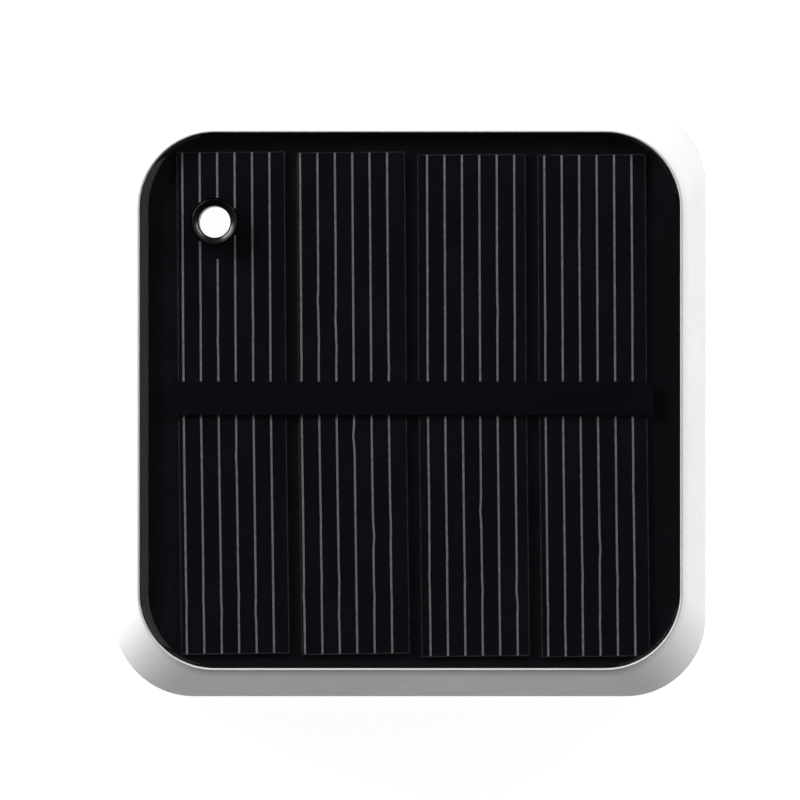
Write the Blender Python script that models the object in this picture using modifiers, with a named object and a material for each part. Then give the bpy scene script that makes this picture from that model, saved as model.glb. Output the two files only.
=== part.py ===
"""A small solar charging pack that lies on its feet with its solar face up.

A white tapered housing carries a glossy laminate of eight silicon cells. Below it, a base cover
with a moulded box holds three rechargeable AA cells behind a sliding door. A hole through one
corner lets the pack hang in a window.

Frame: origin on the ground under the middle of the pack, +Z up through the solar face.
Units: metres. One named object for each piece of the assembly.
"""

from math import cos, pi, radians, sin

import bmesh
import bpy
from mathutils import Matrix, Vector

MM = 0.001
GAP = 0.3 * MM  # clearance between pieces that meet

# Solar face
FACE_X, FACE_Y = 74.4 * MM, 73.7 * MM
FACE_CORNER = 10.3 * MM
COVER_THICK = 0.8 * MM
COVER_EDGE = 0.45 * MM
POCKET_GAP = 0.05 * MM  # the cover nearly touches the lip round it
BOARD_INSET, CELL_MARGIN = 0.4 * MM, 0.6 * MM
ADHESIVE_INSET, ADHESIVE_WIDTH = 1.0 * MM, 3.0 * MM

# Tapered body
BASE_SIDE = 83.0 * MM
BASE_CORNER = 11.2 * MM
BASE_CHAMFER = 0.6 * MM
WALL = 2.0 * MM
LIP_WIDTH, LIP_HEIGHT = 0.4 * MM, 0.42 * MM
GROOVE_WIDTH = 0.6 * MM
RIM_WIDTH, RIM_HEIGHT, RIM_DRAFT = 1.0 * MM, 1.2 * MM, 0.2 * MM  # locates the base cover
ROOT = 0.5 * MM  # how deep a boss, post or rim starts inside the wall that it grows from

# Heights of the stack, from the ground up
FOOT_LIFT = 1.0 * MM
PLATE_TOP = 3.6 * MM
SHELL_LOW = PLATE_TOP + GAP
DECK_LOW = 18.8 * MM
DECK_TOP = 19.9 * MM
ADHESIVE_LOW = DECK_TOP + GAP
ADHESIVE_THICK = 0.3 * MM
BOARD_LOW = ADHESIVE_LOW + ADHESIVE_THICK + GAP
BOARD_THICK = 0.95 * MM
CELL_LOW = BOARD_LOW + BOARD_THICK + 0.05 * MM
CELL_THICK = 0.25 * MM
TAPE_LOW = CELL_LOW + CELL_THICK + 0.15 * MM
TAPE_THICK = 0.12 * MM
COVER_LOW = TAPE_LOW + TAPE_THICK + 0.15 * MM
COVER_TOP = COVER_LOW + COVER_THICK
LIP_TOP = COVER_TOP - 0.25 * MM
LEDGE_TOP = LIP_TOP - LIP_HEIGHT

# Cells
COLUMNS = 4
COLUMN_PITCH = 16.56 * MM
COLUMN_SHIFT = 0.25 * MM
CELL_X, CELL_Y = 14.93 * MM, 33.24 * MM
ROW_MIDDLE = {"upper": 17.38 * MM, "lower": -18.58 * MM}
ROW_SLIP = {"upper": 0.0, "lower": 0.33 * MM}
COLUMN_RISE = (0.26 * MM, 0.24 * MM, -0.07 * MM, -0.10 * MM)
TILTS = {"upper": (0.34, 0.39, 0.22, 0.31), "lower": (0.77, 0.80, 0.65, 0.65)}  # degrees
TAPE_X = 66.5 * MM
TAPE_LOW_Y, TAPE_HIGH_Y = -1.95 * MM, 2.63 * MM
LINK_Y = 1.7 * MM
LINK_ACROSS, LINK_BETWEEN = 6.0 * MM, 7.4 * MM
LINK_THICK = 0.2 * MM

# Hanging hole
HOLE = (-26.9 * MM, 24.6 * MM)
HOLE_BORE = 2.17 * MM
COLLAR_RADIUS = 3.1 * MM
EYELET_WALL = 2.6 * MM
EYELET_DOWN = 3.0 * MM
EYELET_TOP = COVER_TOP + 0.05 * MM
MOUTH_LOW, MOUTH_CURVE, RIM_ROUND = EYELET_TOP - 0.32 * MM, 0.33 * MM, 0.1 * MM
THROAT_RADIUS = 2.9 * MM
CLEAR_RADIUS = 3.3 * MM
TUBE_RADIUS = 4.0 * MM

# Battery box and door
BATTERIES = 3
AA_RADIUS, AA_LENGTH = 7.1 * MM, 50.5 * MM
AA_PITCH = 14.7 * MM
BOX_MIDDLE = 3.0 * MM
BOX_HALF_X, BOX_HALF_Y = 22.2 * MM, 28.2 * MM
BOX_WALL, BOX_ROOF, BOX_CORNER = 1.2 * MM, 1.0 * MM, 1.5 * MM
BOX_TOP = 18.5 * MM
RIB_HALF_X, RIB_HALF_Y, RIB_LOW = 0.7 * MM, 18.0 * MM, 15.0 * MM  # between the batteries
AA_HEIGHT = 3.1 * MM + AA_RADIUS
PLATE_THICK, PLATE_HALF = 0.4 * MM, 5.0 * MM
SPRING_TURNS, SPRING_STEPS, SPRING_WIRE = 2.5, 11, 0.35 * MM
SPRING_WIDE, SPRING_NARROW = 4.4 * MM, 2.4 * MM
# Slots in the box wall for the battery leads, as low and high corners
PLUS_SLOT = (-21.5 * MM, 25.7 * MM, 12.0 * MM), (-18.0 * MM, 27.8 * MM, 14.6 * MM)
MINUS_SLOT = (14.0 * MM, -30.0 * MM, 15.1 * MM), (16.6 * MM, -27.8 * MM, 17.4 * MM)
RECESS_TOP = 2.5 * MM
DOOR_TOP_HALF = 23.6 * MM
DOOR_TAPER = 0.9 * MM
DOOR_END = 30.2 * MM
GRIPS, GRIP_START, GRIP_PITCH = 4, -31.0 * MM, 2.2 * MM
GRIP_HALF_X, GRIP_HALF_Y, GRIP_DEEP = 8.0 * MM, 0.5 * MM, 0.4 * MM

# Fasteners, feet and output contacts
BOSS = 31.5 * MM
BOSS_RADIUS = 2.6 * MM
SCREW_RADIUS, SCREW_HEAD = 1.0 * MM, 2.4 * MM
COUNTERBORE_TOP = 2.4 * MM
BOSS_PILOT_TOP = 14.0 * MM
FOOT_X, FOOT_Y = 35.3 * MM, 21.5 * MM
FOOT_RADIUS, FOOT_DEEP = 3.5 * MM, 0.7 * MM
CONTACT_X = -30.0 * MM
CONTACT_Y = (-12.0 * MM, 0.0 * MM)
CONTACT_RADIUS, CONTACT_HEAD, CONTACT_PIN = 2.6 * MM, 0.8 * MM, 1.0 * MM

# Circuit board
PCB_X, PCB_Y = (-36.2 * MM, -22.6 * MM), (-26.0 * MM, 14.0 * MM)
PCB_LOW, PCB_THICK = 6.2 * MM, 1.0 * MM
PCB_SCREWS = [(-34.0 * MM, -23.6 * MM), (-34.0 * MM, 11.6 * MM)]
PCB_SCREW_RADIUS, PCB_SCREW_HEAD, PCB_SCREW_LOW = 0.65 * MM, 1.6 * MM, 3.3 * MM
PCB_POST_RADIUS = 1.7 * MM
PARTS_LOW = PCB_LOW + PCB_THICK + GAP
CHIP_LOW, CHIP_HIGH, CHIP_THICK = (-31.5 * MM, -14.0 * MM), (-26.5 * MM, -10.0 * MM), 1.5 * MM
CAPACITOR, CAPACITOR_RADIUS, CAPACITOR_TALL = (-33.0 * MM, -1.0 * MM), 2.5 * MM, 7.0 * MM
DIODE, DIODE_RADIUS, DIODE_HALF = (-26.0 * MM, -1.0 * MM), 1.3 * MM, 2.8 * MM
DIODE_WIRE_RADIUS, DIODE_WIRE_HALF = 0.4 * MM, 5.6 * MM

LEAD_RADIUS = 0.55 * MM
LEAD_HOLES = [(-28.0 * MM, 8.0 * MM), (-28.0 * MM, -3.0 * MM)]
SOLAR_RED_END, SOLAR_BLACK_END = (-29.0 * MM, 9.5 * MM), (-29.6 * MM, -5.5 * MM)
BATTERY_RED_ROUTE = (
    (-17.2 * MM, 26.8 * MM, 13.3 * MM), (-19.8 * MM, 26.8 * MM, 13.3 * MM),
    (-21.6 * MM, 25.6 * MM, 13.0 * MM), (-21.8 * MM, 20.0 * MM, 11.0 * MM),
    (-22.6 * MM, 15.0 * MM, 9.6 * MM), (-24.5 * MM, 11.4 * MM, 8.8 * MM),
    (-25.4 * MM, 10.6 * MM, PARTS_LOW),
)
BATTERY_BLACK_ROUTE = (
    (15.3 * MM, -27.4 * MM, 16.2 * MM), (15.3 * MM, -29.6 * MM, 16.2 * MM),
    (13.6 * MM, -31.6 * MM, 15.0 * MM), (8.0 * MM, -32.4 * MM, 11.0 * MM),
    (-2.0 * MM, -32.6 * MM, 7.6 * MM), (-12.0 * MM, -32.2 * MM, 7.0 * MM),
    (-20.0 * MM, -31.0 * MM, 8.6 * MM), (-24.6 * MM, -26.5 * MM, 9.8 * MM),
    (-25.4 * MM, -22.8 * MM, 9.2 * MM), (-25.4 * MM, -21.6 * MM, PARTS_LOW),
)
CORNER_STEPS = 12
ROUND_STEPS = 24
OVER = 1.0 * MM  # how far a cutter runs past the face it opens

for old in list(bpy.data.objects):
    bpy.data.objects.remove(old, do_unlink=True)

PACK = bpy.data.collections.new("solar_pack")
TOOLS = bpy.data.collections.new("cutters")
for collection in (PACK, TOOLS):
    bpy.context.scene.collection.children.link(collection)


# --- Materials -------------------------------------------------------------------------------


def finish(name, colour, roughness, metallic=0.0):
    material = bpy.data.materials.new(name)
    material.use_nodes = True
    shader = material.node_tree.nodes["Principled BSDF"]
    shader.inputs["Base Color"].default_value = (*colour, 1.0)
    shader.inputs["Roughness"].default_value = roughness
    shader.inputs["Metallic"].default_value = metallic
    return material


WHITE_PLASTIC = finish("white_plastic", (0.86, 0.86, 0.87), 0.35)
CLEAR_COVER = finish("clear_cover", (0.03, 0.03, 0.035), 0.08)
SILICON = finish("silicon", (0.012, 0.011, 0.016), 0.30)
BLACK_BOARD = finish("black_board", (0.010, 0.010, 0.013), 0.45)
BLACK_GLOSS = finish("black_gloss", (0.010, 0.010, 0.011), 0.15)
BLACK_TAPE = finish("black_tape", (0.009, 0.009, 0.012), 0.50)
FOAM = finish("adhesive_foam", (0.05, 0.05, 0.05), 0.90)
TIN = finish("tinned_copper", (0.75, 0.75, 0.72), 0.30, 1.0)
NICKEL = finish("nickel_plate", (0.70, 0.69, 0.66), 0.25, 1.0)
STEEL = finish("zinc_steel", (0.62, 0.62, 0.60), 0.30, 1.0)
RUBBER = finish("rubber", (0.05, 0.05, 0.05), 0.80)
SLEEVE = finish("battery_sleeve", (0.10, 0.32, 0.16), 0.35)
CIRCUIT = finish("circuit_green", (0.02, 0.16, 0.07), 0.40)
CHIP = finish("chip_black", (0.02, 0.02, 0.02), 0.55)
CAN = finish("capacitor_can", (0.05, 0.07, 0.20), 0.35)
RED_WIRE = finish("red_insulation", (0.60, 0.03, 0.02), 0.45)
BLACK_WIRE = finish("black_insulation", (0.02, 0.02, 0.02), 0.45)


# --- Tools -----------------------------------------------------------------------------------


def add_object(name, mesh, material):
    """An object in the pack, or in the cutters where it has no material."""
    thing = bpy.data.objects.new(name, mesh)
    if material:
        mesh.materials.append(material)
        PACK.objects.link(thing)
    else:
        TOOLS.objects.link(thing)
        thing.hide_render = True
        thing.display_type = "WIRE"
    return thing


def mesh_from(name, shape):
    mesh = bpy.data.meshes.new(name)
    shape.to_mesh(mesh)
    shape.free()
    return mesh


def rounded(mesh):
    mesh.shade_smooth()
    mesh.set_sharp_from_angle(angle=radians(35))


def block(name, low, high, material=None, corner=0.0, top_edge=0.0):
    """A box between two corners, with its upright edges and then its top rim rounded."""
    low, high = Vector(low), Vector(high)
    shape = bmesh.new()
    bmesh.ops.create_cube(shape, size=1.0)
    bmesh.ops.scale(shape, vec=high - low, verts=shape.verts)
    bmesh.ops.translate(shape, vec=(low + high) / 2, verts=shape.verts)
    if corner:
        upright = [e for e in shape.edges if abs(e.verts[0].co.z - e.verts[1].co.z) > 1e-6]
        bmesh.ops.bevel(
            shape, geom=upright, offset=corner, segments=CORNER_STEPS if corner > 2 * MM else 4,
            affect="EDGES", profile=0.5,
        )
    if top_edge:
        rim = [e for e in shape.edges if all(v.co.z > high.z - 1e-6 for v in e.verts)]
        bmesh.ops.bevel(
            shape, geom=rim, offset=top_edge, segments=3, affect="EDGES", profile=0.5,
        )
    mesh = mesh_from(name, shape)
    if corner or top_edge:
        rounded(mesh)
    return add_object(name, mesh, material)


def pegs(name, places, radius, low, high, steps=ROUND_STEPS):
    """Upright cylinders at several places, as one cutter or one set of bosses."""
    shape = bmesh.new()
    for x, y in places:
        bmesh.ops.create_cone(
            shape, cap_ends=True, segments=steps, radius1=radius, radius2=radius,
            depth=high - low, matrix=Matrix.Translation((x, y, (low + high) / 2)),
        )
    return add_object(name, mesh_from(name, shape), None)


def rounded_outline(half_x, half_y, corner, height):
    """Points round a rounded rectangle, anticlockwise from above."""
    signs = ((1, 1), (-1, 1), (-1, -1), (1, -1))
    points = []
    for quarter, (sign_x, sign_y) in enumerate(signs):
        for step in range(CORNER_STEPS + 1):
            angle = (quarter + step / CORNER_STEPS) * pi / 2
            points.append((
                sign_x * (half_x - corner) + corner * cos(angle),
                sign_y * (half_y - corner) + corner * sin(angle),
                height,
            ))
    return points


def loft(name, sections, material=None, ring=False):
    """A skin through rounded rectangles (half_x, half_y, corner, height), from bottom to top.

    A ring goes up the outside and down the inside, and its last section meets its first.
    """
    shape = bmesh.new()
    loops = [[shape.verts.new(p) for p in rounded_outline(*s)] for s in sections]
    pairs = list(zip(loops, loops[1:]))
    if ring:
        pairs.append((loops[-1], loops[0]))
    for below, above in pairs:
        for i in range(len(below)):
            j = (i + 1) % len(below)
            shape.faces.new((below[i], below[j], above[j], above[i]))
    if not ring:
        shape.faces.new(reversed(loops[0]))
        shape.faces.new(loops[-1])
    mesh = mesh_from(name, shape)
    rounded(mesh)
    return add_object(name, mesh, material)


def turned(name, profile, place, material=None, ring=False, steps=ROUND_STEPS):
    """A solid of revolution about Z. The profile of (radius, height) runs down its outer side."""
    shape = bmesh.new()
    points = [shape.verts.new((radius, 0, height)) for radius, height in profile]
    for a, b in zip(points, points[1:] + (points[:1] if ring else [])):
        shape.edges.new((a, b))
    piece = add_object(name, mesh_from(name, shape), material)
    piece.location = place
    screw = piece.modifiers.new("turn", "SCREW")
    screw.steps = screw.render_steps = steps
    screw.use_merge_vertices = True
    screw.merge_threshold = 1e-6
    screw.use_smooth_shade = True
    return piece


def combine(piece, other, operation):
    change = piece.modifiers.new(f"{operation.lower()}_{other.name}", "BOOLEAN")
    change.operation = operation
    change.object = other
    return piece


def cut(piece, *others):
    for other in others:
        combine(piece, other, "DIFFERENCE")


def join(piece, *others):
    for other in others:
        combine(piece, other, "UNION")


def lead(name, route, material, radius=LEAD_RADIUS, between=4):
    """An insulated wire along a smooth curve through the route's points."""
    points = [Vector(p) for p in route]
    ends = [2 * points[0] - points[1], *points, 2 * points[-1] - points[-2]]
    smooth = []
    for p0, p1, p2, p3 in zip(ends, ends[1:], ends[2:], ends[3:]):
        for step in range(between):
            t = step / between
            smooth.append(
                0.5 * (2 * p1 + (p2 - p0) * t + (2 * p0 - 5 * p1 + 4 * p2 - p3) * t**2
                       + (3 * p1 - p0 - 3 * p2 + p3) * t**3)
            )
    smooth.append(points[-1])
    return tube(name, smooth, material, radius)


def tube(name, points, material, radius):
    curve = bpy.data.curves.new(name, "CURVE")
    curve.dimensions = "3D"
    curve.bevel_depth = radius
    curve.bevel_resolution = 1
    curve.use_fill_caps = True
    spline = curve.splines.new("POLY")
    spline.points.add(len(points) - 1)
    for slot, place in zip(spline.points, points):
        slot.co = (*place, 1.0)
    curve.materials.append(material)
    piece = bpy.data.objects.new(name, curve)
    PACK.objects.link(piece)
    return piece


def corners(x, y):
    return [(x, y), (-x, y), (-x, -y), (x, -y)]


# --- Housing ---------------------------------------------------------------------------------


def wall_half(height, top_half):
    """Half the width of the flared outer wall at a height, towards a side's half width on top."""
    share = (height - SHELL_LOW) / (LEDGE_TOP - SHELL_LOW)
    return BASE_SIDE / 2 + share * (top_half - BASE_SIDE / 2)


POCKET_X, POCKET_Y = FACE_X / 2 + POCKET_GAP, FACE_Y / 2 + POCKET_GAP
LIP_X, LIP_Y = POCKET_X + LIP_WIDTH, POCKET_Y + LIP_WIDTH
LEDGE_X, LEDGE_Y = LIP_X + GROOVE_WIDTH, LIP_Y + GROOVE_WIDTH
LIP_CORNER = FACE_CORNER + POCKET_GAP + LIP_WIDTH


def housing_shell():
    shell = loft("housing_shell", (
        (BASE_SIDE / 2, BASE_SIDE / 2, BASE_CORNER, SHELL_LOW),
        (LEDGE_X, LEDGE_Y, LIP_CORNER + GROOVE_WIDTH / 2, LEDGE_TOP),
        (LIP_X, LIP_Y, LIP_CORNER, LEDGE_TOP + 0.05 * MM),
        (LIP_X, LIP_Y, LIP_CORNER, LIP_TOP),
    ), WHITE_PLASTIC)
    low, high = SHELL_LOW - OVER, DECK_LOW
    hollow = loft("housing_hollow", [
        (
            wall_half(height, LEDGE_X) - WALL,
            wall_half(height, LEDGE_Y) - WALL,
            BASE_CORNER - WALL,
            height,
        )
        for height in (low, high)
    ])
    pocket = block(
        "laminate_pocket",
        (-POCKET_X, -POCKET_Y, DECK_TOP), (POCKET_X, POCKET_Y, COVER_TOP + OVER),
        corner=FACE_CORNER + POCKET_GAP,
    )
    into_deck = DECK_LOW + ROOT
    bosses = pegs("boss_posts", corners(BOSS, BOSS), BOSS_RADIUS, SHELL_LOW + GAP, into_deck)
    sleeve = pegs("hole_sleeve", [HOLE], TUBE_RADIUS, SHELL_LOW + GAP, into_deck)
    pilots = pegs(
        "boss_pilots", corners(BOSS, BOSS), SCREW_RADIUS + GAP, SHELL_LOW - OVER, BOSS_PILOT_TOP, 12
    )
    throat = pegs("hole_throat", [HOLE], THROAT_RADIUS, SHELL_LOW - OVER, DECK_TOP + OVER)
    lead_holes = pegs(
        "lead_holes", LEAD_HOLES, 2 * LEAD_RADIUS, DECK_LOW - OVER, DECK_TOP + OVER, 12
    )
    cut(shell, hollow, pocket)
    join(shell, bosses, sleeve)
    cut(shell, pilots, throat, lead_holes)


# --- Base cover and door -----------------------------------------------------------------------


def door_outline(name, grow, high, far_end, near_end, material=None):
    """The dovetail section of the door, wider at its top, from one end to the other."""
    top_half = DOOR_TOP_HALF + grow
    bottom_half = top_half - DOOR_TAPER
    slide = block(
        name, (BOX_MIDDLE - top_half, near_end, FOOT_LIFT), (BOX_MIDDLE + top_half, far_end, high),
        material,
    )
    for vertex in slide.data.vertices:
        if vertex.co.z < FOOT_LIFT + 1e-6:
            side = 1 if vertex.co.x > BOX_MIDDLE else -1
            vertex.co.x = BOX_MIDDLE + side * bottom_half
    return slide


def base_cover():
    half = BASE_SIDE / 2
    cover = loft("base_cover", (
        (half - BASE_CHAMFER, half - BASE_CHAMFER, BASE_CORNER - BASE_CHAMFER, FOOT_LIFT),
        (half, half, BASE_CORNER, FOOT_LIFT + BASE_CHAMFER),
        (half, half, BASE_CORNER, PLATE_TOP),
    ), WHITE_PLASTIC)
    rim_out = half - WALL - GAP
    rim_in = rim_out - RIM_WIDTH
    rim_corner = BASE_CORNER - WALL
    root, rim_top = PLATE_TOP - ROOT, PLATE_TOP + RIM_HEIGHT
    rim = loft("locating_rim", (
        (rim_out, rim_out, rim_corner, root),
        (rim_out - RIM_DRAFT, rim_out - RIM_DRAFT, rim_corner, rim_top),
        (rim_in - RIM_DRAFT, rim_in - RIM_DRAFT, rim_corner - RIM_WIDTH, rim_top),
        (rim_in, rim_in, rim_corner - RIM_WIDTH, root),
    ), ring=True)
    box = block(
        "battery_box",
        (BOX_MIDDLE - BOX_HALF_X - BOX_WALL, -BOX_HALF_Y - BOX_WALL, root),
        (BOX_MIDDLE + BOX_HALF_X + BOX_WALL, BOX_HALF_Y + BOX_WALL, BOX_TOP),
        corner=BOX_CORNER,
    )
    posts = pegs(
        "board_posts", PCB_SCREWS, PCB_POST_RADIUS, root, PCB_LOW - GAP, 16,
    )
    room = block(
        "battery_room",
        (BOX_MIDDLE - BOX_HALF_X, -BOX_HALF_Y, FOOT_LIFT - OVER),
        (BOX_MIDDLE + BOX_HALF_X, BOX_HALF_Y, BOX_TOP - BOX_ROOF),
    )
    recess = door_outline("door_recess", GAP, RECESS_TOP, DOOR_END + GAP, -half - OVER)
    mouth = block(
        "door_mouth",
        (BOX_MIDDLE - DOOR_TOP_HALF - GAP + DOOR_TAPER, -half - OVER, FOOT_LIFT - OVER),
        (BOX_MIDDLE + DOOR_TOP_HALF + GAP - DOOR_TAPER, DOOR_END + GAP, FOOT_LIFT + 0.01 * MM),
    )
    heads = pegs(
        "screw_recesses", corners(BOSS, BOSS), SCREW_HEAD + GAP, FOOT_LIFT - OVER, COUNTERBORE_TOP
    )
    shanks = pegs(
        "screw_holes", corners(BOSS, BOSS), SCREW_RADIUS + GAP, FOOT_LIFT - OVER,
        PLATE_TOP + OVER, 12,
    )
    foot_pockets = pegs(
        "foot_pockets", corners(FOOT_X, FOOT_Y), FOOT_RADIUS + GAP, FOOT_LIFT - OVER,
        FOOT_LIFT + FOOT_DEEP,
    )
    contact_places = [(CONTACT_X, y) for y in CONTACT_Y]
    contact_pockets = pegs(
        "contact_pockets", contact_places, CONTACT_RADIUS + GAP, FOOT_LIFT - OVER,
        FOOT_LIFT + CONTACT_HEAD + GAP + 0.1 * MM,
    )
    contact_holes = pegs(
        "contact_holes", contact_places, CONTACT_PIN + GAP, FOOT_LIFT - OVER, PLATE_TOP + OVER, 12
    )
    hanging = pegs("hanging_clearance", [HOLE], TUBE_RADIUS - 0.6 * MM, 0.0, PLATE_TOP + OVER)
    plus_slot = block("plus_slot", *PLUS_SLOT)
    minus_slot = block("minus_slot", *MINUS_SLOT)
    pilots = pegs(
        "board_pilots", PCB_SCREWS, PCB_SCREW_RADIUS + GAP, PCB_SCREW_LOW - GAP, PCB_LOW + OVER, 12,
    )
    join(cover, rim, box, posts)
    cut(cover, room, recess, mouth, heads, shanks, foot_pockets, contact_pockets, contact_holes)
    cut(cover, hanging, plus_slot, minus_slot, pilots)
    for side in (-1, 1):
        rib_x = BOX_MIDDLE + side * AA_PITCH / 2
        join(cover, block(
            f"battery_rib_{'left' if side < 0 else 'right'}",
            (rib_x - RIB_HALF_X, -RIB_HALF_Y, RIB_LOW),
            (rib_x + RIB_HALF_X, RIB_HALF_Y, BOX_TOP - BOX_ROOF + ROOT),
        ))


def battery_door():
    door = door_outline(
        "battery_door", 0.0, RECESS_TOP - GAP, DOOR_END, -BASE_SIDE / 2 + 0.2 * MM, WHITE_PLASTIC
    )
    for number in range(GRIPS):
        y = GRIP_START + GRIP_PITCH * number
        cut(door, block(
            f"grip_{number + 1}",
            (BOX_MIDDLE - GRIP_HALF_X, y - GRIP_HALF_Y, FOOT_LIFT - OVER),
            (BOX_MIDDLE + GRIP_HALF_X, y + GRIP_HALF_Y, FOOT_LIFT + GRIP_DEEP),
        ))


# --- Solar laminate ------------------------------------------------------------------------------


def cell_middle(row, column):
    x = COLUMN_SHIFT + (column - (COLUMNS - 1) / 2) * COLUMN_PITCH + ROW_SLIP[row]
    return Vector((x, ROW_MIDDLE[row] + COLUMN_RISE[column], CELL_LOW + CELL_THICK / 2))


def solar_cells():
    opening = pegs("cell_opening", [HOLE], CLEAR_RADIUS, BOARD_LOW, COVER_TOP)
    half_x, half_y = FACE_X / 2 - CELL_MARGIN, FACE_Y / 2 - CELL_MARGIN
    trim = block(
        "cell_trim", (-half_x, -half_y, BOARD_LOW), (half_x, half_y, COVER_TOP),
        corner=FACE_CORNER - CELL_MARGIN,
    )
    for row in ("upper", "lower"):
        for column in range(COLUMNS):
            half = Vector((CELL_X, CELL_Y, CELL_THICK)) / 2
            cell = block(f"solar_cell_{row}_{column + 1}", -half, half, SILICON)
            cell.location = cell_middle(row, column)
            cell.rotation_euler.z = radians(TILTS[row][column])
            if row == "upper" and column == 0:
                cut(cell, opening)
            if row == "lower" and column == COLUMNS - 1:
                combine(cell, trim, "INTERSECT")


def interconnects():
    """Seven strips in the gap between the rows: across each column, and between its neighbours."""
    gap_middle = (ROW_MIDDLE["upper"] + ROW_MIDDLE["lower"]) / 2
    for number in range(2 * COLUMNS - 1):
        width = LINK_BETWEEN if number % 2 else LINK_ACROSS
        x = COLUMN_SHIFT + (number / 2 - (COLUMNS - 1) / 2) * COLUMN_PITCH
        block(
            f"interconnect_{number + 1}",
            (x - width / 2, gap_middle - LINK_Y / 2, CELL_LOW),
            (x + width / 2, gap_middle + LINK_Y / 2, CELL_LOW + LINK_THICK),
            TIN,
        )


def laminate():
    half_x, half_y = FACE_X / 2 - BOARD_INSET, FACE_Y / 2 - BOARD_INSET
    board = block(
        "backing_board",
        (-half_x, -half_y, BOARD_LOW), (half_x, half_y, BOARD_LOW + BOARD_THICK),
        BLACK_BOARD, corner=FACE_CORNER - BOARD_INSET,
    )
    cut(board, pegs("board_opening", [HOLE], THROAT_RADIUS, BOARD_LOW - OVER, COVER_LOW))
    outer, inner = (
        (FACE_X / 2 - inset, FACE_Y / 2 - inset, FACE_CORNER - inset)
        for inset in (ADHESIVE_INSET, ADHESIVE_INSET + ADHESIVE_WIDTH)
    )
    adhesive_top = ADHESIVE_LOW + ADHESIVE_THICK
    loft("adhesive_frame", (
        (*outer, ADHESIVE_LOW), (*outer, adhesive_top),
        (*inner, adhesive_top), (*inner, ADHESIVE_LOW),
    ), FOAM, ring=True)
    block(
        "masking_strip",
        (COLUMN_SHIFT - TAPE_X / 2, TAPE_LOW_Y, TAPE_LOW),
        (COLUMN_SHIFT + TAPE_X / 2, TAPE_HIGH_Y, TAPE_LOW + TAPE_THICK),
        BLACK_TAPE,
    )
    cover = block(
        "clear_cover",
        (-FACE_X / 2, -FACE_Y / 2, COVER_LOW), (FACE_X / 2, FACE_Y / 2, COVER_TOP),
        CLEAR_COVER, corner=FACE_CORNER, top_edge=COVER_EDGE,
    )
    cut(cover, pegs("cover_opening", [HOLE], CLEAR_RADIUS, COVER_LOW - OVER, COVER_TOP + OVER, 32))


def hanging_eyelet():
    """A flanged black tube that lines the hole, with a countersunk mouth."""
    flange_low = COVER_LOW + 0.1 * MM
    throat = HOLE_BORE + MOUTH_CURVE
    profile = [
        (COLLAR_RADIUS - RIM_ROUND, EYELET_TOP),
        (COLLAR_RADIUS, EYELET_TOP - RIM_ROUND),
        (COLLAR_RADIUS, flange_low),
        (EYELET_WALL, flange_low),
        (EYELET_WALL, DECK_TOP - EYELET_DOWN),
        (HOLE_BORE, DECK_TOP - EYELET_DOWN),
        (HOLE_BORE, MOUTH_LOW - 2 * MOUTH_CURVE),
        (HOLE_BORE + 0.3 * MOUTH_CURVE, MOUTH_LOW - 0.7 * MOUTH_CURVE),
        (throat, MOUTH_LOW),
    ]
    turned("hanging_eyelet", profile, (*HOLE, 0), BLACK_GLOSS, ring=True)


# --- Batteries and contacts --------------------------------------------------------------------


def battery_places():
    """(x, which way the positive end points) for each battery, alternating for a series string."""
    return [
        (BOX_MIDDLE + (number - (BATTERIES - 1) / 2) * AA_PITCH, -1 if number % 2 else 1)
        for number in range(BATTERIES)
    ]


ROOM_END = BOX_HALF_Y - PLATE_THICK - GAP  # inner faces of the contact plates
SPRING_ROOM = 2 * (ROOM_END - GAP) - AA_LENGTH


def batteries():
    profile = (
        (0.0, AA_LENGTH), (2.5 * MM, AA_LENGTH), (2.7 * MM, AA_LENGTH - 0.2 * MM),
        (2.7 * MM, AA_LENGTH - 1.2 * MM), (6.2 * MM, AA_LENGTH - 1.2 * MM),
        (AA_RADIUS, AA_LENGTH - 1.9 * MM), (AA_RADIUS, 0.6 * MM), (6.4 * MM, 0.0), (0.0, 0.0),
    )
    for number, (x, way) in enumerate(battery_places()):
        negative_end = way * (ROOM_END - GAP - AA_LENGTH)
        cell = turned(f"aa_battery_{number + 1}", profile, (x, negative_end, AA_HEIGHT), SLEEVE)
        cell.rotation_euler.x = -way * pi / 2


def contact_plate(name, first, last, way):
    """A plate behind the battery ends from the first battery to the last, at one end of the box."""
    places = battery_places()
    low_y, high_y = sorted((way * ROOM_END, way * (ROOM_END + PLATE_THICK)))
    block(
        name,
        (places[first][0] - PLATE_HALF, low_y, AA_HEIGHT - PLATE_HALF),
        (places[last][0] + PLATE_HALF, high_y, AA_HEIGHT + PLATE_HALF),
        NICKEL,
    )


def contact_springs():
    """Cone springs that press on the flat ends of the batteries."""
    rise = SPRING_ROOM - 2.2 * GAP - 2 * SPRING_WIRE
    steps = int(SPRING_TURNS * SPRING_STEPS)
    for number, (x, way) in enumerate(battery_places()):
        base = Vector((x, -way * (ROOM_END - GAP - SPRING_WIRE), AA_HEIGHT))
        points = []
        for step in range(steps + 1):
            share = step / (SPRING_TURNS * SPRING_STEPS)
            angle = 2 * pi * SPRING_TURNS * share
            radius = SPRING_WIDE + share * (SPRING_NARROW - SPRING_WIDE)
            points.append(
                base + Vector((radius * cos(angle), way * share * rise, radius * sin(angle)))
            )
        tube(f"contact_spring_{number + 1}", points, NICKEL, SPRING_WIRE)


def battery_contacts():
    contact_plate("battery_contact_plus", 0, 0, 1)
    contact_plate("battery_bridge_rear", 1, 2, 1)
    contact_plate("battery_bridge_front", 0, 1, -1)
    contact_plate("battery_contact_minus", 2, 2, -1)
    contact_springs()


# --- Circuit board and leads ----------------------------------------------------------------------


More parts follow.
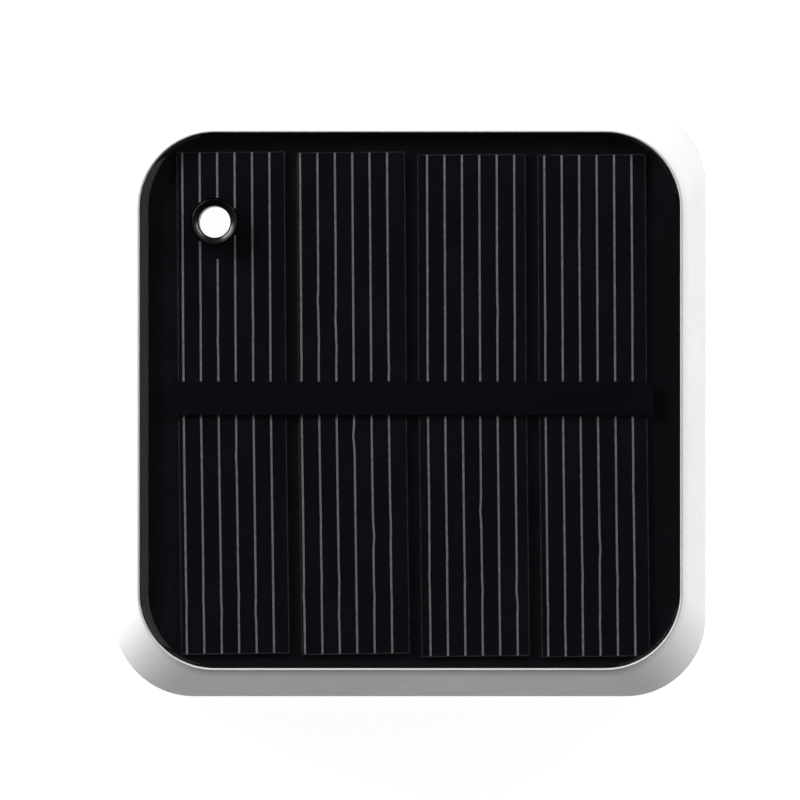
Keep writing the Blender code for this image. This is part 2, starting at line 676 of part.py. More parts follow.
def circuit_board():
    board = block(
        "circuit_board", (PCB_X[0], PCB_Y[0], PCB_LOW), (PCB_X[1], PCB_Y[1], PCB_LOW + PCB_THICK),
        CIRCUIT,
    )
    cut(board, pegs(
        "board_screw_holes", PCB_SCREWS, PCB_SCREW_RADIUS + GAP, PCB_LOW - OVER, PARTS_LOW + OVER, 12
    ))
    head = PARTS_LOW + 1.1 * MM
    for number, (x, y) in enumerate(PCB_SCREWS):
        turned(f"board_screw_{number + 1}", (
            (0.0, head), (0.6 * PCB_SCREW_HEAD, head - 0.1 * MM), (PCB_SCREW_HEAD, head - 0.7 * MM),
            (PCB_SCREW_HEAD, PARTS_LOW), (PCB_SCREW_RADIUS, PARTS_LOW),
            (PCB_SCREW_RADIUS, PCB_SCREW_LOW + 0.2 * MM), (0.0, PCB_SCREW_LOW),
        ), (x, y, 0), STEEL, steps=12)
    block(
        "charge_controller", (*CHIP_LOW, PARTS_LOW), (*CHIP_HIGH, PARTS_LOW + CHIP_THICK), CHIP
    )
    crimp = 0.2 * MM
    turned("filter_capacitor", (
        (0.0, CAPACITOR_TALL), (CAPACITOR_RADIUS - 2 * crimp, CAPACITOR_TALL),
        (CAPACITOR_RADIUS, CAPACITOR_TALL - 2 * crimp), (CAPACITOR_RADIUS, 4.5 * crimp),
        (CAPACITOR_RADIUS - crimp, 3 * crimp), (CAPACITOR_RADIUS, 1.5 * crimp),
        (CAPACITOR_RADIUS, 0.0), (0.0, 0.0),
    ), (*CAPACITOR, PARTS_LOW), CAN, steps=20)
    shoulder = DIODE_HALF - 0.2 * MM
    diode = turned("blocking_diode", (
        (0.0, DIODE_WIRE_HALF), (DIODE_WIRE_RADIUS, DIODE_WIRE_HALF),
        (DIODE_WIRE_RADIUS, DIODE_HALF), (DIODE_RADIUS, shoulder),
        (DIODE_RADIUS, -shoulder), (DIODE_WIRE_RADIUS, -DIODE_HALF),
        (DIODE_WIRE_RADIUS, -DIODE_WIRE_HALF), (0.0, -DIODE_WIRE_HALF),
    ), (*DIODE, PARTS_LOW + DIODE_RADIUS + 0.05 * MM), CHIP, steps=16)
    diode.rotation_euler.x = pi / 2


def output_contacts():
    low, top = FOOT_LIFT, PCB_LOW - GAP
    for name, y in zip(("output_contact_plus", "output_contact_minus"), CONTACT_Y):
        turned(name, (
            (0.0, top), (CONTACT_PIN, top), (CONTACT_PIN, low + CONTACT_HEAD),
            (CONTACT_RADIUS, low + CONTACT_HEAD), (CONTACT_RADIUS, low + 0.2 * MM),
            (CONTACT_RADIUS - 0.2 * MM, low), (0.0, low),
        ), (CONTACT_X, y, 0), NICKEL, steps=20)


def leads():
    start = BOARD_LOW - GAP
    for name, (x, y), landing, material in (
        ("solar_lead_red", LEAD_HOLES[0], SOLAR_RED_END, RED_WIRE),
        ("solar_lead_black", LEAD_HOLES[1], SOLAR_BLACK_END, BLACK_WIRE),
    ):
        lead(name, (
            (x, y, start), (x, y, DECK_LOW), (x - 0.6 * MM, y, 15.0 * MM),
            (landing[0] - 0.5 * MM, landing[1], 10.5 * MM), (*landing, PARTS_LOW),
        ), material)
    lead("battery_lead_red", BATTERY_RED_ROUTE, RED_WIRE, between=3)
    lead("battery_lead_black", BATTERY_BLACK_ROUTE, BLACK_WIRE, between=3)


# --- Screws and feet --------------------------------------------------------------------------------


def housing_screws():
    head_low, head_high = FOOT_LIFT + 0.2 * MM, COUNTERBORE_TOP - GAP
    for number, (x, y) in enumerate(corners(BOSS, BOSS)):
        turned(f"housing_screw_{number + 1}", (
            (0.0, 11.4 * MM), (0.5 * MM, 11.0 * MM), (SCREW_RADIUS, 9.8 * MM),
            (SCREW_RADIUS, head_high), (SCREW_HEAD, head_high),
            (SCREW_HEAD, head_low + 0.5 * MM), (SCREW_HEAD - 0.6 * MM, head_low), (0.0, head_low),
        ), (x, y, 0), STEEL, steps=16)


def rubber_feet():
    top = FOOT_LIFT + FOOT_DEEP - GAP
    for number, (x, y) in enumerate(corners(FOOT_X, FOOT_Y)):
        turned(f"rubber_foot_{number + 1}", (
            (0.0, top), (FOOT_RADIUS, top), (FOOT_RADIUS, 0.4 * MM),
            (FOOT_RADIUS - 0.4 * MM, 0.0), (0.0, 0.0),
        ), (x, y, 0), RUBBER, steps=20)


housing_shell()
base_cover()
battery_door()
laminate()
solar_cells()
interconnects()
hanging_eyelet()
batteries()
battery_contacts()
circuit_board()
output_contacts()
leads()
housing_screws()
rubber_feet()
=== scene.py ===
# %% [markdown]
# # A small solar charging pack
# The pack is a tapered white box about as wide as a hand, with a glossy black solar face on top and
# a hole through one corner to hang it by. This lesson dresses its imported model: the frame gives
# every place and size, and each visible piece is made again here with rounder edges and a finish
# of its own.

# %% Load the frame
import random
from math import copysign, cos, hypot, pi, radians, sin, tan

import bmesh
import bpy
from mathutils import Matrix, Vector


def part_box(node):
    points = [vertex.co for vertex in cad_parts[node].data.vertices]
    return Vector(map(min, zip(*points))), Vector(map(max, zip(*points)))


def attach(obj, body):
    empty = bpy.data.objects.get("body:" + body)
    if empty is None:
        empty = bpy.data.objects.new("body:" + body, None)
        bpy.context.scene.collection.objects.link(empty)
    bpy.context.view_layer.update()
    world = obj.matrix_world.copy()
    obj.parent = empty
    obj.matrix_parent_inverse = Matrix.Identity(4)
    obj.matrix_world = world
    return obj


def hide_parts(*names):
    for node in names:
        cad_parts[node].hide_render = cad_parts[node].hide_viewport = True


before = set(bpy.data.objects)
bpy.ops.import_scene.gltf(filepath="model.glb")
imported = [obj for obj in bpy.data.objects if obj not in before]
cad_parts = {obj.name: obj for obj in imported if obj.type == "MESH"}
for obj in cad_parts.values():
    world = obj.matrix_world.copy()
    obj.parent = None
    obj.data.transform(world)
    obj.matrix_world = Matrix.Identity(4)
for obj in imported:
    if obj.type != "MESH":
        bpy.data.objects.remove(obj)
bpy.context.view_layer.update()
MM = 0.001
GAP = 0.3 * MM  # clearance between pieces that meet

# %% [markdown]
# ## Sizes
# The corners of a few nodes give every height and width. What a box can't tell, such as a corner
# radius or the width of the housing's lip, is named once, where it is first needed.

# %% Read the sizes
shell_low, shell_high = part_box("housing_shell")
base_low, base_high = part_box("base_cover")
cover_low, cover_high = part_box("clear_cover")
board_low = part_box("backing_board")[0]
door_low, door_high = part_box("battery_door")
eyelet_low, eyelet_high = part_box("hanging_eyelet")
hole = (eyelet_low + eyelet_high) / 2
hole_place = [(hole.x, hole.y)]

BASE_CORNER = 11.2 * MM
FACE_CORNER = 10.3 * MM
CORNER_STEPS = 24
PLATE_TOP = shell_low.z - GAP
print("face", round((cover_high - cover_low).x / MM, 1), "mm wide,",
      "top at", round(cover_high.z / MM, 2))

# %% [markdown]
# ## The camera
# The pack is seen from straight above. A long lens a metre away keeps the tall sides from
# spreading, as in a product picture, and the face fills about two thirds of the frame.

# %% Camera
def link(thing):
    bpy.context.scene.collection.objects.link(thing)


CAMERA_HEIGHT = 1.0
PICTURE_SIDE = 110.04 * MM  # how much of the face's plane the picture spans
PICTURE_MIDDLE = (-1.37 * MM, 0.07 * MM)

camera = bpy.data.objects.new("camera", bpy.data.cameras.new("camera"))
link(camera)
camera.data.lens = camera.data.sensor_width * (CAMERA_HEIGHT - cover_high.z) / PICTURE_SIDE
camera.data.clip_end = 20
camera.location = (*PICTURE_MIDDLE, CAMERA_HEIGHT)
bpy.context.scene.camera = camera
print("lens", round(camera.data.lens), "mm")

# %% [markdown]
# ## The studio
# A white pack on a white ground is lit from its sides. Two large panels stand to the left and the
# right, both a little beyond the top edge, so the wall nearest to the viewer's lap stays in soft
# shade. They are long and low, and nothing bright hangs straight above, so that the glossy face
# mirrors neither from above nor from the usual angles. One dim panel hangs high on the left, for a
# faint sheen along that edge of the face.

# %% Lights and world
bpy.context.scene.view_settings.view_transform = "Standard"


def panel(name, azimuth, elevation, distance, width, height, radiance):
    """A soft rectangular light that faces the pack. Azimuth turns from +X towards +Y."""
    light = bpy.data.lights.new(name, "AREA")
    light.shape = "RECTANGLE"
    light.size, light.size_y = width, height
    light.energy = radiance * pi * width * height
    lamp = bpy.data.objects.new(name, light)
    level = distance * cos(radians(elevation))
    lamp.location = (
        level * cos(radians(azimuth)), level * sin(radians(azimuth)),
        distance * sin(radians(elevation)),
    )
    lamp.rotation_euler = lamp.location.to_track_quat("Z", "Y").to_euler()
    link(lamp)


panel("left_panel", 142, 15, 1.3, 1.08, 0.26, 50.0)
panel("right_panel", 30, 15, 1.3, 1.08, 0.26, 26.5)
panel("high_panel", 182, 57, 1.0, 0.90, 0.36, 0.62)

world = bpy.data.worlds.new("studio")
world.use_nodes = True
bpy.context.scene.world = world
sky = world.node_tree
direction = sky.nodes.new("ShaderNodeTexCoord")
upward = sky.nodes.new("ShaderNodeSeparateXYZ")
shades = sky.nodes.new("ShaderNodeValToRGB")
HORIZON_BAND, HORIZON_SHADES, SKY_BLUE = (0.02, 0.07), (0.80, 0.03), 1.02
for element, place, shade in zip(shades.color_ramp.elements, HORIZON_BAND, HORIZON_SHADES):
    element.position = place
    element.color = (shade, shade, shade * SKY_BLUE, 1)
sky.links.new(direction.outputs["Generated"], upward.inputs[0])
sky.links.new(upward.outputs["Z"], shades.inputs["Fac"])
sky.links.new(shades.outputs["Color"], sky.nodes["Background"].inputs["Color"])

# %% [markdown]
# ## Finishes
# A material here is one Principled shader with a few nodes in front of it. Object coordinates are
# metres on the pack, so a pattern's scale is turns per metre: 500 makes spots of two millimetres.


# %% Helpers for finishes
NOISE_RANGE = (0.3, 0.7)  # where nearly all of a noise texture's values lie
RAMP_RANGE = (0.35, 0.65)


class Finish:
    """A material with its Principled shader, and short ways to put patterns in front of it."""

    def __init__(self, name, colour, roughness, metallic=0.0, specular=0.5):
        self.material = bpy.data.materials.new(name)
        self.material.use_nodes = True
        self.nodes = self.material.node_tree.nodes
        self.links = self.material.node_tree.links
        self.shader = self.nodes["Principled BSDF"]
        self.set("Base Color", (*colour, 1.0))
        self.set("Roughness", roughness)
        self.set("Metallic", metallic)
        self.set("Specular IOR Level", specular)
        self.coordinates = self.nodes.new("ShaderNodeTexCoord")

    def set(self, socket, value):
        self.shader.inputs[socket].default_value = value

    def noise(self, scale, detail, stretch=(1, 1, 1)):
        """Soft spots, scale to the metre, drawn out along an axis where stretch is small."""
        place = self.nodes.new("ShaderNodeMapping")
        place.inputs["Scale"].default_value = stretch
        spots = self.nodes.new("ShaderNodeTexNoise")
        spots.inputs["Scale"].default_value = scale
        spots.inputs["Detail"].default_value = detail
        self.links.new(self.coordinates.outputs["Object"], place.inputs["Vector"])
        self.links.new(place.outputs["Vector"], spots.inputs["Vector"])
        return spots.outputs["Fac"]

    def blend(self, pattern, first, second):
        """A ramp between two colours, following the pattern."""
        ramp = self.nodes.new("ShaderNodeValToRGB")
        for element, place, colour in zip(ramp.color_ramp.elements, RAMP_RANGE, (first, second)):
            element.position = place
            element.color = (*colour, 1.0)
        self.links.new(pattern, ramp.inputs["Fac"])
        return ramp.outputs["Color"]

    def level(self, pattern, low, high):
        """The pattern's usual range as a number between low and high."""
        spread = self.nodes.new("ShaderNodeMapRange")
        limits = zip(("From Min", "From Max", "To Min", "To Max"), (*NOISE_RANGE, low, high))
        for socket, value in limits:
            spread.inputs[socket].default_value = value
        self.links.new(pattern, spread.inputs["Value"])
        return spread.outputs["Result"]

    def mottle(self, first, second, scale, stretch=(1, 1, 1)):
        pattern = self.noise(scale, detail=4.0, stretch=stretch)
        self.links.new(self.blend(pattern, first, second), self.shader.inputs["Base Color"])

    def wear(self, low, high, scale, stretch=(1, 1, 1)):
        pattern = self.noise(scale, detail=2.0, stretch=stretch)
        self.links.new(self.level(pattern, low, high), self.shader.inputs["Roughness"])

    def grain(self, scale, depth, strength=0.4):
        """Fine relief of about this depth in metres."""
        bump = self.nodes.new("ShaderNodeBump")
        bump.inputs["Strength"].default_value = strength
        bump.inputs["Distance"].default_value = depth
        self.links.new(self.noise(scale, detail=2.0), bump.inputs["Height"])
        self.links.new(bump.outputs["Normal"], self.shader.inputs["Normal"])


# %% [markdown]
# The ground is a very large sheet that glows a little, like a light table, so that the pack's own
# shadow stays faint and the hole looks through to white.

# %% The ground
ground_finish = Finish("pale_ground", (0.12, 0.12, 0.12), 0.9, specular=0.1)
ground_finish.set("Emission Color", (1.0, 1.0, 1.0, 1.0))
ground_finish.set("Emission Strength", 0.96)
ground_shape = bmesh.new()
bmesh.ops.create_grid(ground_shape, x_segments=1, y_segments=1, size=6.0)
ground_mesh = bpy.data.meshes.new("ground")
ground_shape.to_mesh(ground_mesh)
ground_mesh.materials.append(ground_finish.material)
ground = bpy.data.objects.new("ground", ground_mesh)
ground.location.z = -0.02 * MM
link(ground)

# %% [markdown]
# ## Making a piece
# Every piece starts as a bmesh, is welded or cut where it needs to be, and ends as an object at the
# origin that rides on one of the two bodies: the pack or its door. It is shaded smooth with creases
# kept sharp, and its large flat faces are given the most weight, so that they don't look dished.


# %% Helpers for shapes
CREASE = radians(40)
NEAR = 1e-6  # metres: anything closer counts as touching
WELD = 1e-7
SLIVER = 0.0005  # the same after a Boolean, in millimetres
IN_MILLIMETRES = Matrix.Scale(1 / MM, 4)


def as_mesh(name, shape):
    mesh = bpy.data.meshes.new(name)
    shape.to_mesh(mesh)
    shape.free()
    return mesh


def as_object(name, shape):
    piece = bpy.data.objects.new(name, as_mesh(name, shape))
    link(piece)
    return piece


def gather(*shapes):
    """Several shapes in one bmesh, not welded."""
    whole = bmesh.new()
    for shape in shapes:
        mesh = as_mesh("part", shape)
        whole.from_mesh(mesh)
        bpy.data.meshes.remove(mesh)
    return whole


def paint(shape, number):
    for face in shape.faces:
        face.material_index = number
    return shape


def move(shape, where):
    """Moves a shape by a vector, or turns it by a matrix."""
    if isinstance(where, Matrix):
        bmesh.ops.transform(shape, matrix=where, verts=shape.verts)
    else:
        bmesh.ops.translate(shape, vec=where, verts=shape.verts)


def bevel(shape, edges, radius, segments, clamp=False):
    bmesh.ops.bevel(shape, geom=edges, offset=radius, segments=segments, affect="EDGES",
                    profile=0.5, clamp_overlap=clamp, material=-1)


def edges_at(shape, height):
    """The edges that lie level at one height."""
    return [e for e in shape.edges if all(abs(v.co.z - height) < NEAR for v in e.verts)]


def rounded_block(low, high, corner=0.0, steps=6, draft=(0.0, 0.0)):
    """A box with rounded upright edges. Draft pulls its top in from each side, along X and Y."""
    low, high = Vector(low), Vector(high)
    middle = (low + high) / 2
    shape = bmesh.new()
    bmesh.ops.create_cube(shape, size=1.0)
    bmesh.ops.scale(shape, vec=high - low, verts=shape.verts)
    move(shape, middle)
    for vertex in shape.verts:
        if vertex.co.z > middle.z:
            vertex.co.x -= copysign(draft[0], vertex.co.x - middle.x)
            vertex.co.y -= copysign(draft[1], vertex.co.y - middle.y)
    if corner:
        upright = [e for e in shape.edges if abs(e.verts[0].co.z - e.verts[1].co.z) > NEAR]
        bevel(shape, upright, corner, steps)
    shape.normal_update()
    return shape


def flat_face(shape, up=True):
    """The highest face that looks up, or the lowest that looks down."""
    way = 1 if up else -1
    level = [f for f in shape.faces if f.normal.z * way > 0.99]
    return max(level, key=lambda f: (round(f.calc_center_median().z * way, 6), f.calc_area()))


def step_in(shape, face, width, rise):
    """Insets a face and moves it along its normal, which makes a ledge, a wall or a floor."""
    bmesh.ops.inset_region(shape, faces=[face], thickness=width, depth=rise, use_even_offset=True)
    return face


def round_edges(shape, radius, segments=3):
    """Rounds the edges that are sharper than a crease."""
    shape.normal_update()
    sharp = [e for e in shape.edges if e.is_manifold and e.calc_face_angle() > CREASE]
    bevel(shape, sharp, radius, segments, clamp=True)
    shape.normal_update()
    return shape


def arc(middle, radius, start, end, steps=5):
    """Points of a rounded corner in a profile, from one angle in degrees to another."""
    turns = (radians(start + (end - start) * step / steps) for step in range(steps + 1))
    return [(middle[0] + radius * cos(turn), middle[1] + radius * sin(turn)) for turn in turns]


def turned(profile, steps=48, place=(0, 0, 0)):
    """A solid of revolution about Z from a (radius, height) profile."""
    shape = bmesh.new()
    points = [shape.verts.new((radius, 0, height)) for radius, height in profile]
    for a, b in zip(points, points[1:]):
        shape.edges.new((a, b))
    bmesh.ops.spin(shape, geom=shape.verts[:] + shape.edges[:], cent=(0, 0, 0), axis=(0, 0, 1),
                   angle=2 * pi, steps=steps, use_merge=True)
    bmesh.ops.remove_doubles(shape, verts=shape.verts, dist=WELD)
    bmesh.ops.recalc_face_normals(shape, faces=shape.faces)
    move(shape, place)
    return shape


def pegs(places, radius, low, high, steps=40, mouth=0.0):
    """Upright cylinders at several places, for cutting holes or adding posts. Mouth widens the
    low end by a small chamfer, and lets the cutter stick out below it."""
    profile = [(0, low), (radius, low), (radius, high), (0, high)]
    if mouth:
        profile[:2] = [(0, low - mouth), (radius + 2 * mouth, low - mouth), (radius, low + mouth)]
    return gather(*(turned(profile, steps, (*place, 0)) for place in places))


def rework(piece, operation, *shapes):
    """Cuts shapes out of a piece, or welds them on, and keeps the result as its mesh. It works in
    millimetres, where rounding errors are far smaller than any detail."""
    piece.data.transform(IN_MILLIMETRES)
    helpers = []
    for shape in shapes:
        helper = as_object("helper", shape)
        helper.data.transform(IN_MILLIMETRES)
        helpers.append(helper)
        change = piece.modifiers.new("change", "BOOLEAN")
        change.operation = operation
        change.object = helper
        change.use_hole_tolerant = True
    bpy.context.view_layer.update()
    graph = bpy.context.evaluated_depsgraph_get()
    piece.data = bpy.data.meshes.new_from_object(piece.evaluated_get(graph))
    result = bmesh.new()
    result.from_mesh(piece.data)
    bmesh.ops.remove_doubles(result, verts=result.verts, dist=SLIVER)
    bmesh.ops.dissolve_degenerate(result, edges=result.edges, dist=SLIVER)
    result.to_mesh(piece.data)
    result.free()
    piece.data.transform(IN_MILLIMETRES.inverted())
    piece.modifiers.clear()
    for helper in helpers:
        bpy.data.objects.remove(helper)


def reworked(shape, operation, *others):
    """The same for a bmesh that isn't an object yet."""
    piece = as_object("rough", shape)
    rework(piece, operation, *others)
    result = bmesh.new()
    result.from_mesh(piece.data)
    bpy.data.objects.remove(piece)
    return result


def present(piece, finishes, slot, *nodes, body="pack", weighted=True, crease=CREASE):
    """Gives a piece its finishes, smooth shading and its body, and hides the nodes that it stands
    for.
    """
    for finish in finishes:
        piece.data.materials.append(finish.material)
    piece.data.shade_smooth()
    piece.data.set_sharp_from_angle(angle=crease)
    if weighted:
        weights = piece.modifiers.new("flat_faces_first", "WEIGHTED_NORMAL")
        weights.keep_sharp = True
    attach(piece, body)
    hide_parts(*nodes)
    print(piece.name, len(piece.data.polygons), "faces")
    return piece


# %% [markdown]
# ## White moulded plastic
# The housing, base and door are one white ABS with a satin, spark-eroded skin. Its colour drifts by
# a hair, its gloss a little more, and its relief is a few microns deep.

# %% White plastic
white_plastic = Finish("white_plastic", (0.52, 0.52, 0.52), 0.5, specular=0.08)
white_plastic.mottle((0.512, 0.512, 0.514), (0.530, 0.530, 0.530), 60)
white_plastic.wear(0.46, 0.56, 220)
white_plastic.grain(5200, 0.012 * MM, strength=0.25)

# %% [markdown]
# ## The housing
# The real shell is one injection moulding: four walls that flare out towards the base, a sloping
# shoulder and a thin lip round the face, a pocket for the laminate, and posts for the screws.
# It could be cut from a solid with Booleans, but a moulder's steps are closer to an inset: each
# step_in insets the top face and moves it, so the lip follows the rounded corners by itself.

# %% Housing shell
WALL = 2.0 * MM
LIP, LIP_SLOPE = 0.4 * MM, 0.02 * MM
SHOULDER_WIDTH, SHOULDER_DROP = 0.6 * MM, 1.2 * MM
LIP_FLAT = 0.3 * MM
FACE_CLEARANCE = 0.05 * MM
MOULD_DRAFT = 0.02 * MM
INNER_LEAN = 0.82  # how much of a wall's outer lean its inside follows
DECK_TOP, DECK_LOW = board_low.z - 0.9 * MM, board_low.z - 2.0 * MM

lip_half_x = cover_high.x + FACE_CLEARANCE + LIP
lip_half_y = cover_high.y + FACE_CLEARANCE + LIP
draft = (shell_high.x - lip_half_x - SHOULDER_WIDTH, shell_high.y - lip_half_y - SHOULDER_WIDTH)
shell = rounded_block(
    shell_low, (shell_high.x, shell_high.y, shell_high.z - SHOULDER_DROP - LIP_SLOPE),
    BASE_CORNER, CORNER_STEPS, draft,
)
rim = flat_face(shell)
step_in(shell, rim, SHOULDER_WIDTH + LIP - LIP_FLAT, SHOULDER_DROP)
step_in(shell, rim, LIP_FLAT, LIP_SLOPE)
step_in(shell, rim, MOULD_DRAFT, DECK_TOP - shell_high.z)
under = flat_face(shell, up=False)
step_in(shell, under, WALL, 0.0)
step_in(shell, under, draft[0] * INNER_LEAN, shell_low.z - DECK_LOW)
round_edges(shell, 0.1 * MM)
housing = as_object("housing", shell)

# %% Posts and holes in the housing
BOSS, BOSS_RADIUS, BOSS_DEPTH = 31.5 * MM, 2.6 * MM, 14 * MM
SLEEVE_POST, SLEEVE_HOLE = 4.0 * MM, 2.9 * MM
SCREW_HOLE, LEAD_HOLE, HOLE_STEPS = 1.3 * MM, 1.1 * MM, 64
corner_places = [(x, y) for x in (-BOSS, BOSS) for y in (-BOSS, BOSS)]
lead_holes = [(-28.0 * MM, 8.0 * MM), (-28.0 * MM, -3.0 * MM)]
into_deck = (DECK_LOW + DECK_TOP) / 2
rework(
    housing, "UNION",
    pegs(corner_places, BOSS_RADIUS, shell_low.z + GAP, into_deck),
    pegs(hole_place, SLEEVE_POST, shell_low.z + GAP, into_deck, HOLE_STEPS),
)
rework(
    housing, "DIFFERENCE",
    pegs(corner_places, SCREW_HOLE, shell_low.z - MM, BOSS_DEPTH),
    pegs(hole_place, SLEEVE_HOLE, shell_low.z - MM, DECK_TOP + MM, HOLE_STEPS),
    pegs(lead_holes, LEAD_HOLE, DECK_LOW - MM, DECK_TOP + MM),
)
present(housing, [white_plastic], "white_plastic", "housing_shell")

# %% [markdown]
# ## The clear cover
# A sheet of clear acrylic closes the face. Its rim falls away in a soft pillow edge, which is the
# only place where it catches light from the left. Black ink on the underside hides the gap round
# the board, as on most screens. A glass shader would leave the cells below in the dark, so the
# sheet lets rays straight through and adds a mirror on top. The mirror's share is Schlick's rule,
# from Layer Weight: a Fresnel node would turn light back on its way up and out.

# %% Cover finish
HEAD_ON = 0.038  # what acrylic mirrors when it is seen straight on


def clear_finish(name, tint, gloss):
    """A sheet that is seen straight through, with a mirror on its outer side where gloss is set."""
    finish = Finish(name, tint, 0.05)
    nodes, links = finish.nodes, finish.links
    through = nodes.new("ShaderNodeBsdfTransparent")
    through.inputs["Color"].default_value = (*tint, 1.0)
    nodes.remove(finish.shader)
    surface = nodes["Material Output"].inputs["Surface"]
    if not gloss:
        links.new(through.outputs[0], surface)
        return finish
    mirror = nodes.new("ShaderNodeBsdfGlossy")
    mirror.inputs["Color"].default_value = (1.0, 1.0, 1.0, 1.0)
    gloss_drift = finish.level(finish.noise(90, detail=2.0), 0.03, 0.06)
    links.new(gloss_drift, mirror.inputs["Roughness"])
    facing = nodes.new("ShaderNodeLayerWeight")
    facing.inputs["Blend"].default_value = 0.5
    power = nodes.new("ShaderNodeMath")
    power.operation = "POWER"
    power.inputs[1].default_value = 5.0
    amount = nodes.new("ShaderNodeMapRange")
    amount.inputs["To Min"].default_value = HEAD_ON
    mix = nodes.new("ShaderNodeMixShader")
    links.new(facing.outputs["Facing"], power.inputs[0])
    links.new(power.outputs[0], amount.inputs["Value"])
    links.new(amount.outputs["Result"], mix.inputs["Fac"])
    links.new(through.outputs[0], mix.inputs[1])
    links.new(mirror.outputs[0], mix.inputs[2])
    links.new(mix.outputs[0], surface)
    return finish


clear_top = clear_finish("clear_cover", (0.93, 0.93, 0.95), gloss=True)
clear_under = clear_finish("clear_cover_underside", (0.97, 0.97, 0.98), gloss=False)
rim_ink = Finish("printed_rim", (0.004, 0.004, 0.005), 0.6, specular=0.06)
rim_ink.mottle((0.0035, 0.0034, 0.0046), (0.0048, 0.0046, 0.0058), 300)

# %% Clear cover
PILLOW_WIDTH, PILLOW_SLOPE, PILLOW_STEPS = 2.4 * MM, radians(19), 10
PRINTED_RIM = 0.5 * MM
pillow_fall = PILLOW_WIDTH * tan(PILLOW_SLOPE) / 2
sheet = rounded_block(
    cover_low, (cover_high.x, cover_high.y, cover_high.z - pillow_fall), FACE_CORNER, CORNER_STEPS
)
step_in(sheet, flat_face(sheet, up=False), PRINTED_RIM, 0.0)
top = flat_face(sheet)
for step in range(PILLOW_STEPS):
    now, after = (1 - (step + k) / PILLOW_STEPS for k in (0, 1))
    step_in(sheet, top, PILLOW_WIDTH / PILLOW_STEPS, pillow_fall * (now**2 - after**2))
round_edges(sheet, 0.05 * MM, 2)
clear_cover = as_object("cover_sheet", sheet)
OPENING = 3.3 * MM
rework(
    clear_cover, "DIFFERENCE",
    pegs(hole_place, OPENING, cover_low.z - MM, cover_high.z + MM, HOLE_STEPS),
)
present(clear_cover, [clear_top, clear_under, rim_ink], "clear_cover", "clear_cover")
for face in clear_cover.data.polygons:
    outward = max(abs(face.center.x) / cover_high.x, abs(face.center.y) / cover_high.y)
    in_rim = outward > 1 - PRINTED_RIM / cover_high.y and len(face.vertices) == 4
    face.material_index = (2 if in_rim else 1) if face.normal.z < -0.5 else 0

# %% [markdown]
# ## Silicon cells
# Each cell is a thin dark wafer, cut by laser from a larger one, which leaves a faint paler line
# round its edge. Six silver fingers are printed along it and run out of sight under the black
# strip. The print is real relief, a few hundredths of a millimetre high, and wanders by a hair.

# %% Cell finishes
silicon = Finish("silicon", (0.0042, 0.0040, 0.0068), 0.45, specular=0.02)
silicon.mottle((0.0041, 0.0038, 0.0066), (0.0058, 0.0053, 0.0090), 260, (1.0, 0.35, 1.0))
silicon.wear(0.40, 0.52, 500)
silver = Finish("silver_paste", (0.15, 0.146, 0.134), 0.55, 0.2, specular=0.1)
silver.mottle((0.18, 0.175, 0.161), (0.27, 0.262, 0.243), 1400)
silver.grain(9000, 0.006 * MM)
cut_edge = Finish("laser_cut_edge", (0.015, 0.015, 0.016), 0.5, specular=0.1)
cut_edge.mottle((0.014, 0.014, 0.017), (0.034, 0.033, 0.036), 900)

# %% [markdown]
# The cells were laid by hand: the lower row sits a third of a millimetre to the right and leans
# more. The kinks list gives, for each cell, which finger strays, how far along the pack and by how
# much, in millimetres.

# %% Where the cells lie
CELL_X, CELL_Y = 14.93 * MM, 33.24 * MM
COLUMN_PITCH, COLUMN_SHIFT = 16.56 * MM, 0.25 * MM
COLUMN_RISE = (0.26 * MM, 0.24 * MM, -0.07 * MM, -0.10 * MM)
ROW_MIDDLE = {"upper": 17.38 * MM, "lower": -18.58 * MM}
ROW_SLIP = {"upper": 0.0, "lower": 0.33 * MM}
TILTS = {"upper": (0.34, 0.39, 0.22, 0.31), "lower": (0.77, 0.80, 0.65, 0.65)}  # degrees
PRINT_SHIFT = {"upper": (-0.68, -1.01, -0.12, -0.51), "lower": (-0.67, -0.975, -0.20, -0.545)}
FINGERS, FINGER_PITCH, FINGER_WIDTH, FINGER_RISE = 6, 2.4 * MM, 0.28 * MM, 0.03 * MM
HOLE_CLEAR, CELL_MARGIN = 3.35 * MM, 0.6 * MM
KINK_WIDTH = 0.9 * MM
KINKS = {
    "upper_1": ((2, 12.0, 0.03), (3, 8.3, -0.06), (5, 10.0, 0.03)),
    "upper_2": ((1, 5.5, 0.04), (2, 13.7, -0.09), (2, 8.0, 0.06), (3, 11.3, -0.08),
                (3, 7.0, 0.06), (6, 4.5, 0.07)),
    "upper_3": ((2, 20.0, 0.03), (5, 12.2, 0.08), (6, 11.0, 0.03)),
    "upper_4": ((1, 10.0, 0.04), (3, 21.6, -0.06), (4, 14.9, 0.03), (6, 13.0, 0.03)),
    "lower_1": ((1, -27.8, 0.05), (2, -27.1, -0.05), (3, -29.1, 0.07), (4, -7.8, -0.08),
                (4, -27.1, 0.06), (5, -29.1, -0.09)),
    "lower_2": ((1, -26.8, -0.08), (2, -16.1, 0.05), (2, -24.3, 0.05), (3, -24.7, 0.07),
                (3, -29.8, -0.06), (4, -5.0, -0.17), (5, -18.7, 0.15), (5, -27.1, 0.08),
                (6, -17.4, 0.08), (6, -27.8, 0.05)),
    "lower_3": ((1, -24.3, -0.06), (2, -20.9, 0.04), (3, -24.3, 0.05), (4, -15.2, -0.15),
                (4, -26.1, 0.07), (6, -26.1, -0.10), (6, -28.2, 0.07)),
    "lower_4": ((1, -29.1, 0.05), (2, -30.5, -0.06), (3, -24.0, 0.06), (4, -20.4, 0.12),
                (4, -30.9, -0.06), (5, -24.7, 0.07), (6, -11.9, -0.06), (6, -24.3, 0.05)),
}
cell_low, cell_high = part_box("solar_cell_upper_2")
draws = random.Random(7)
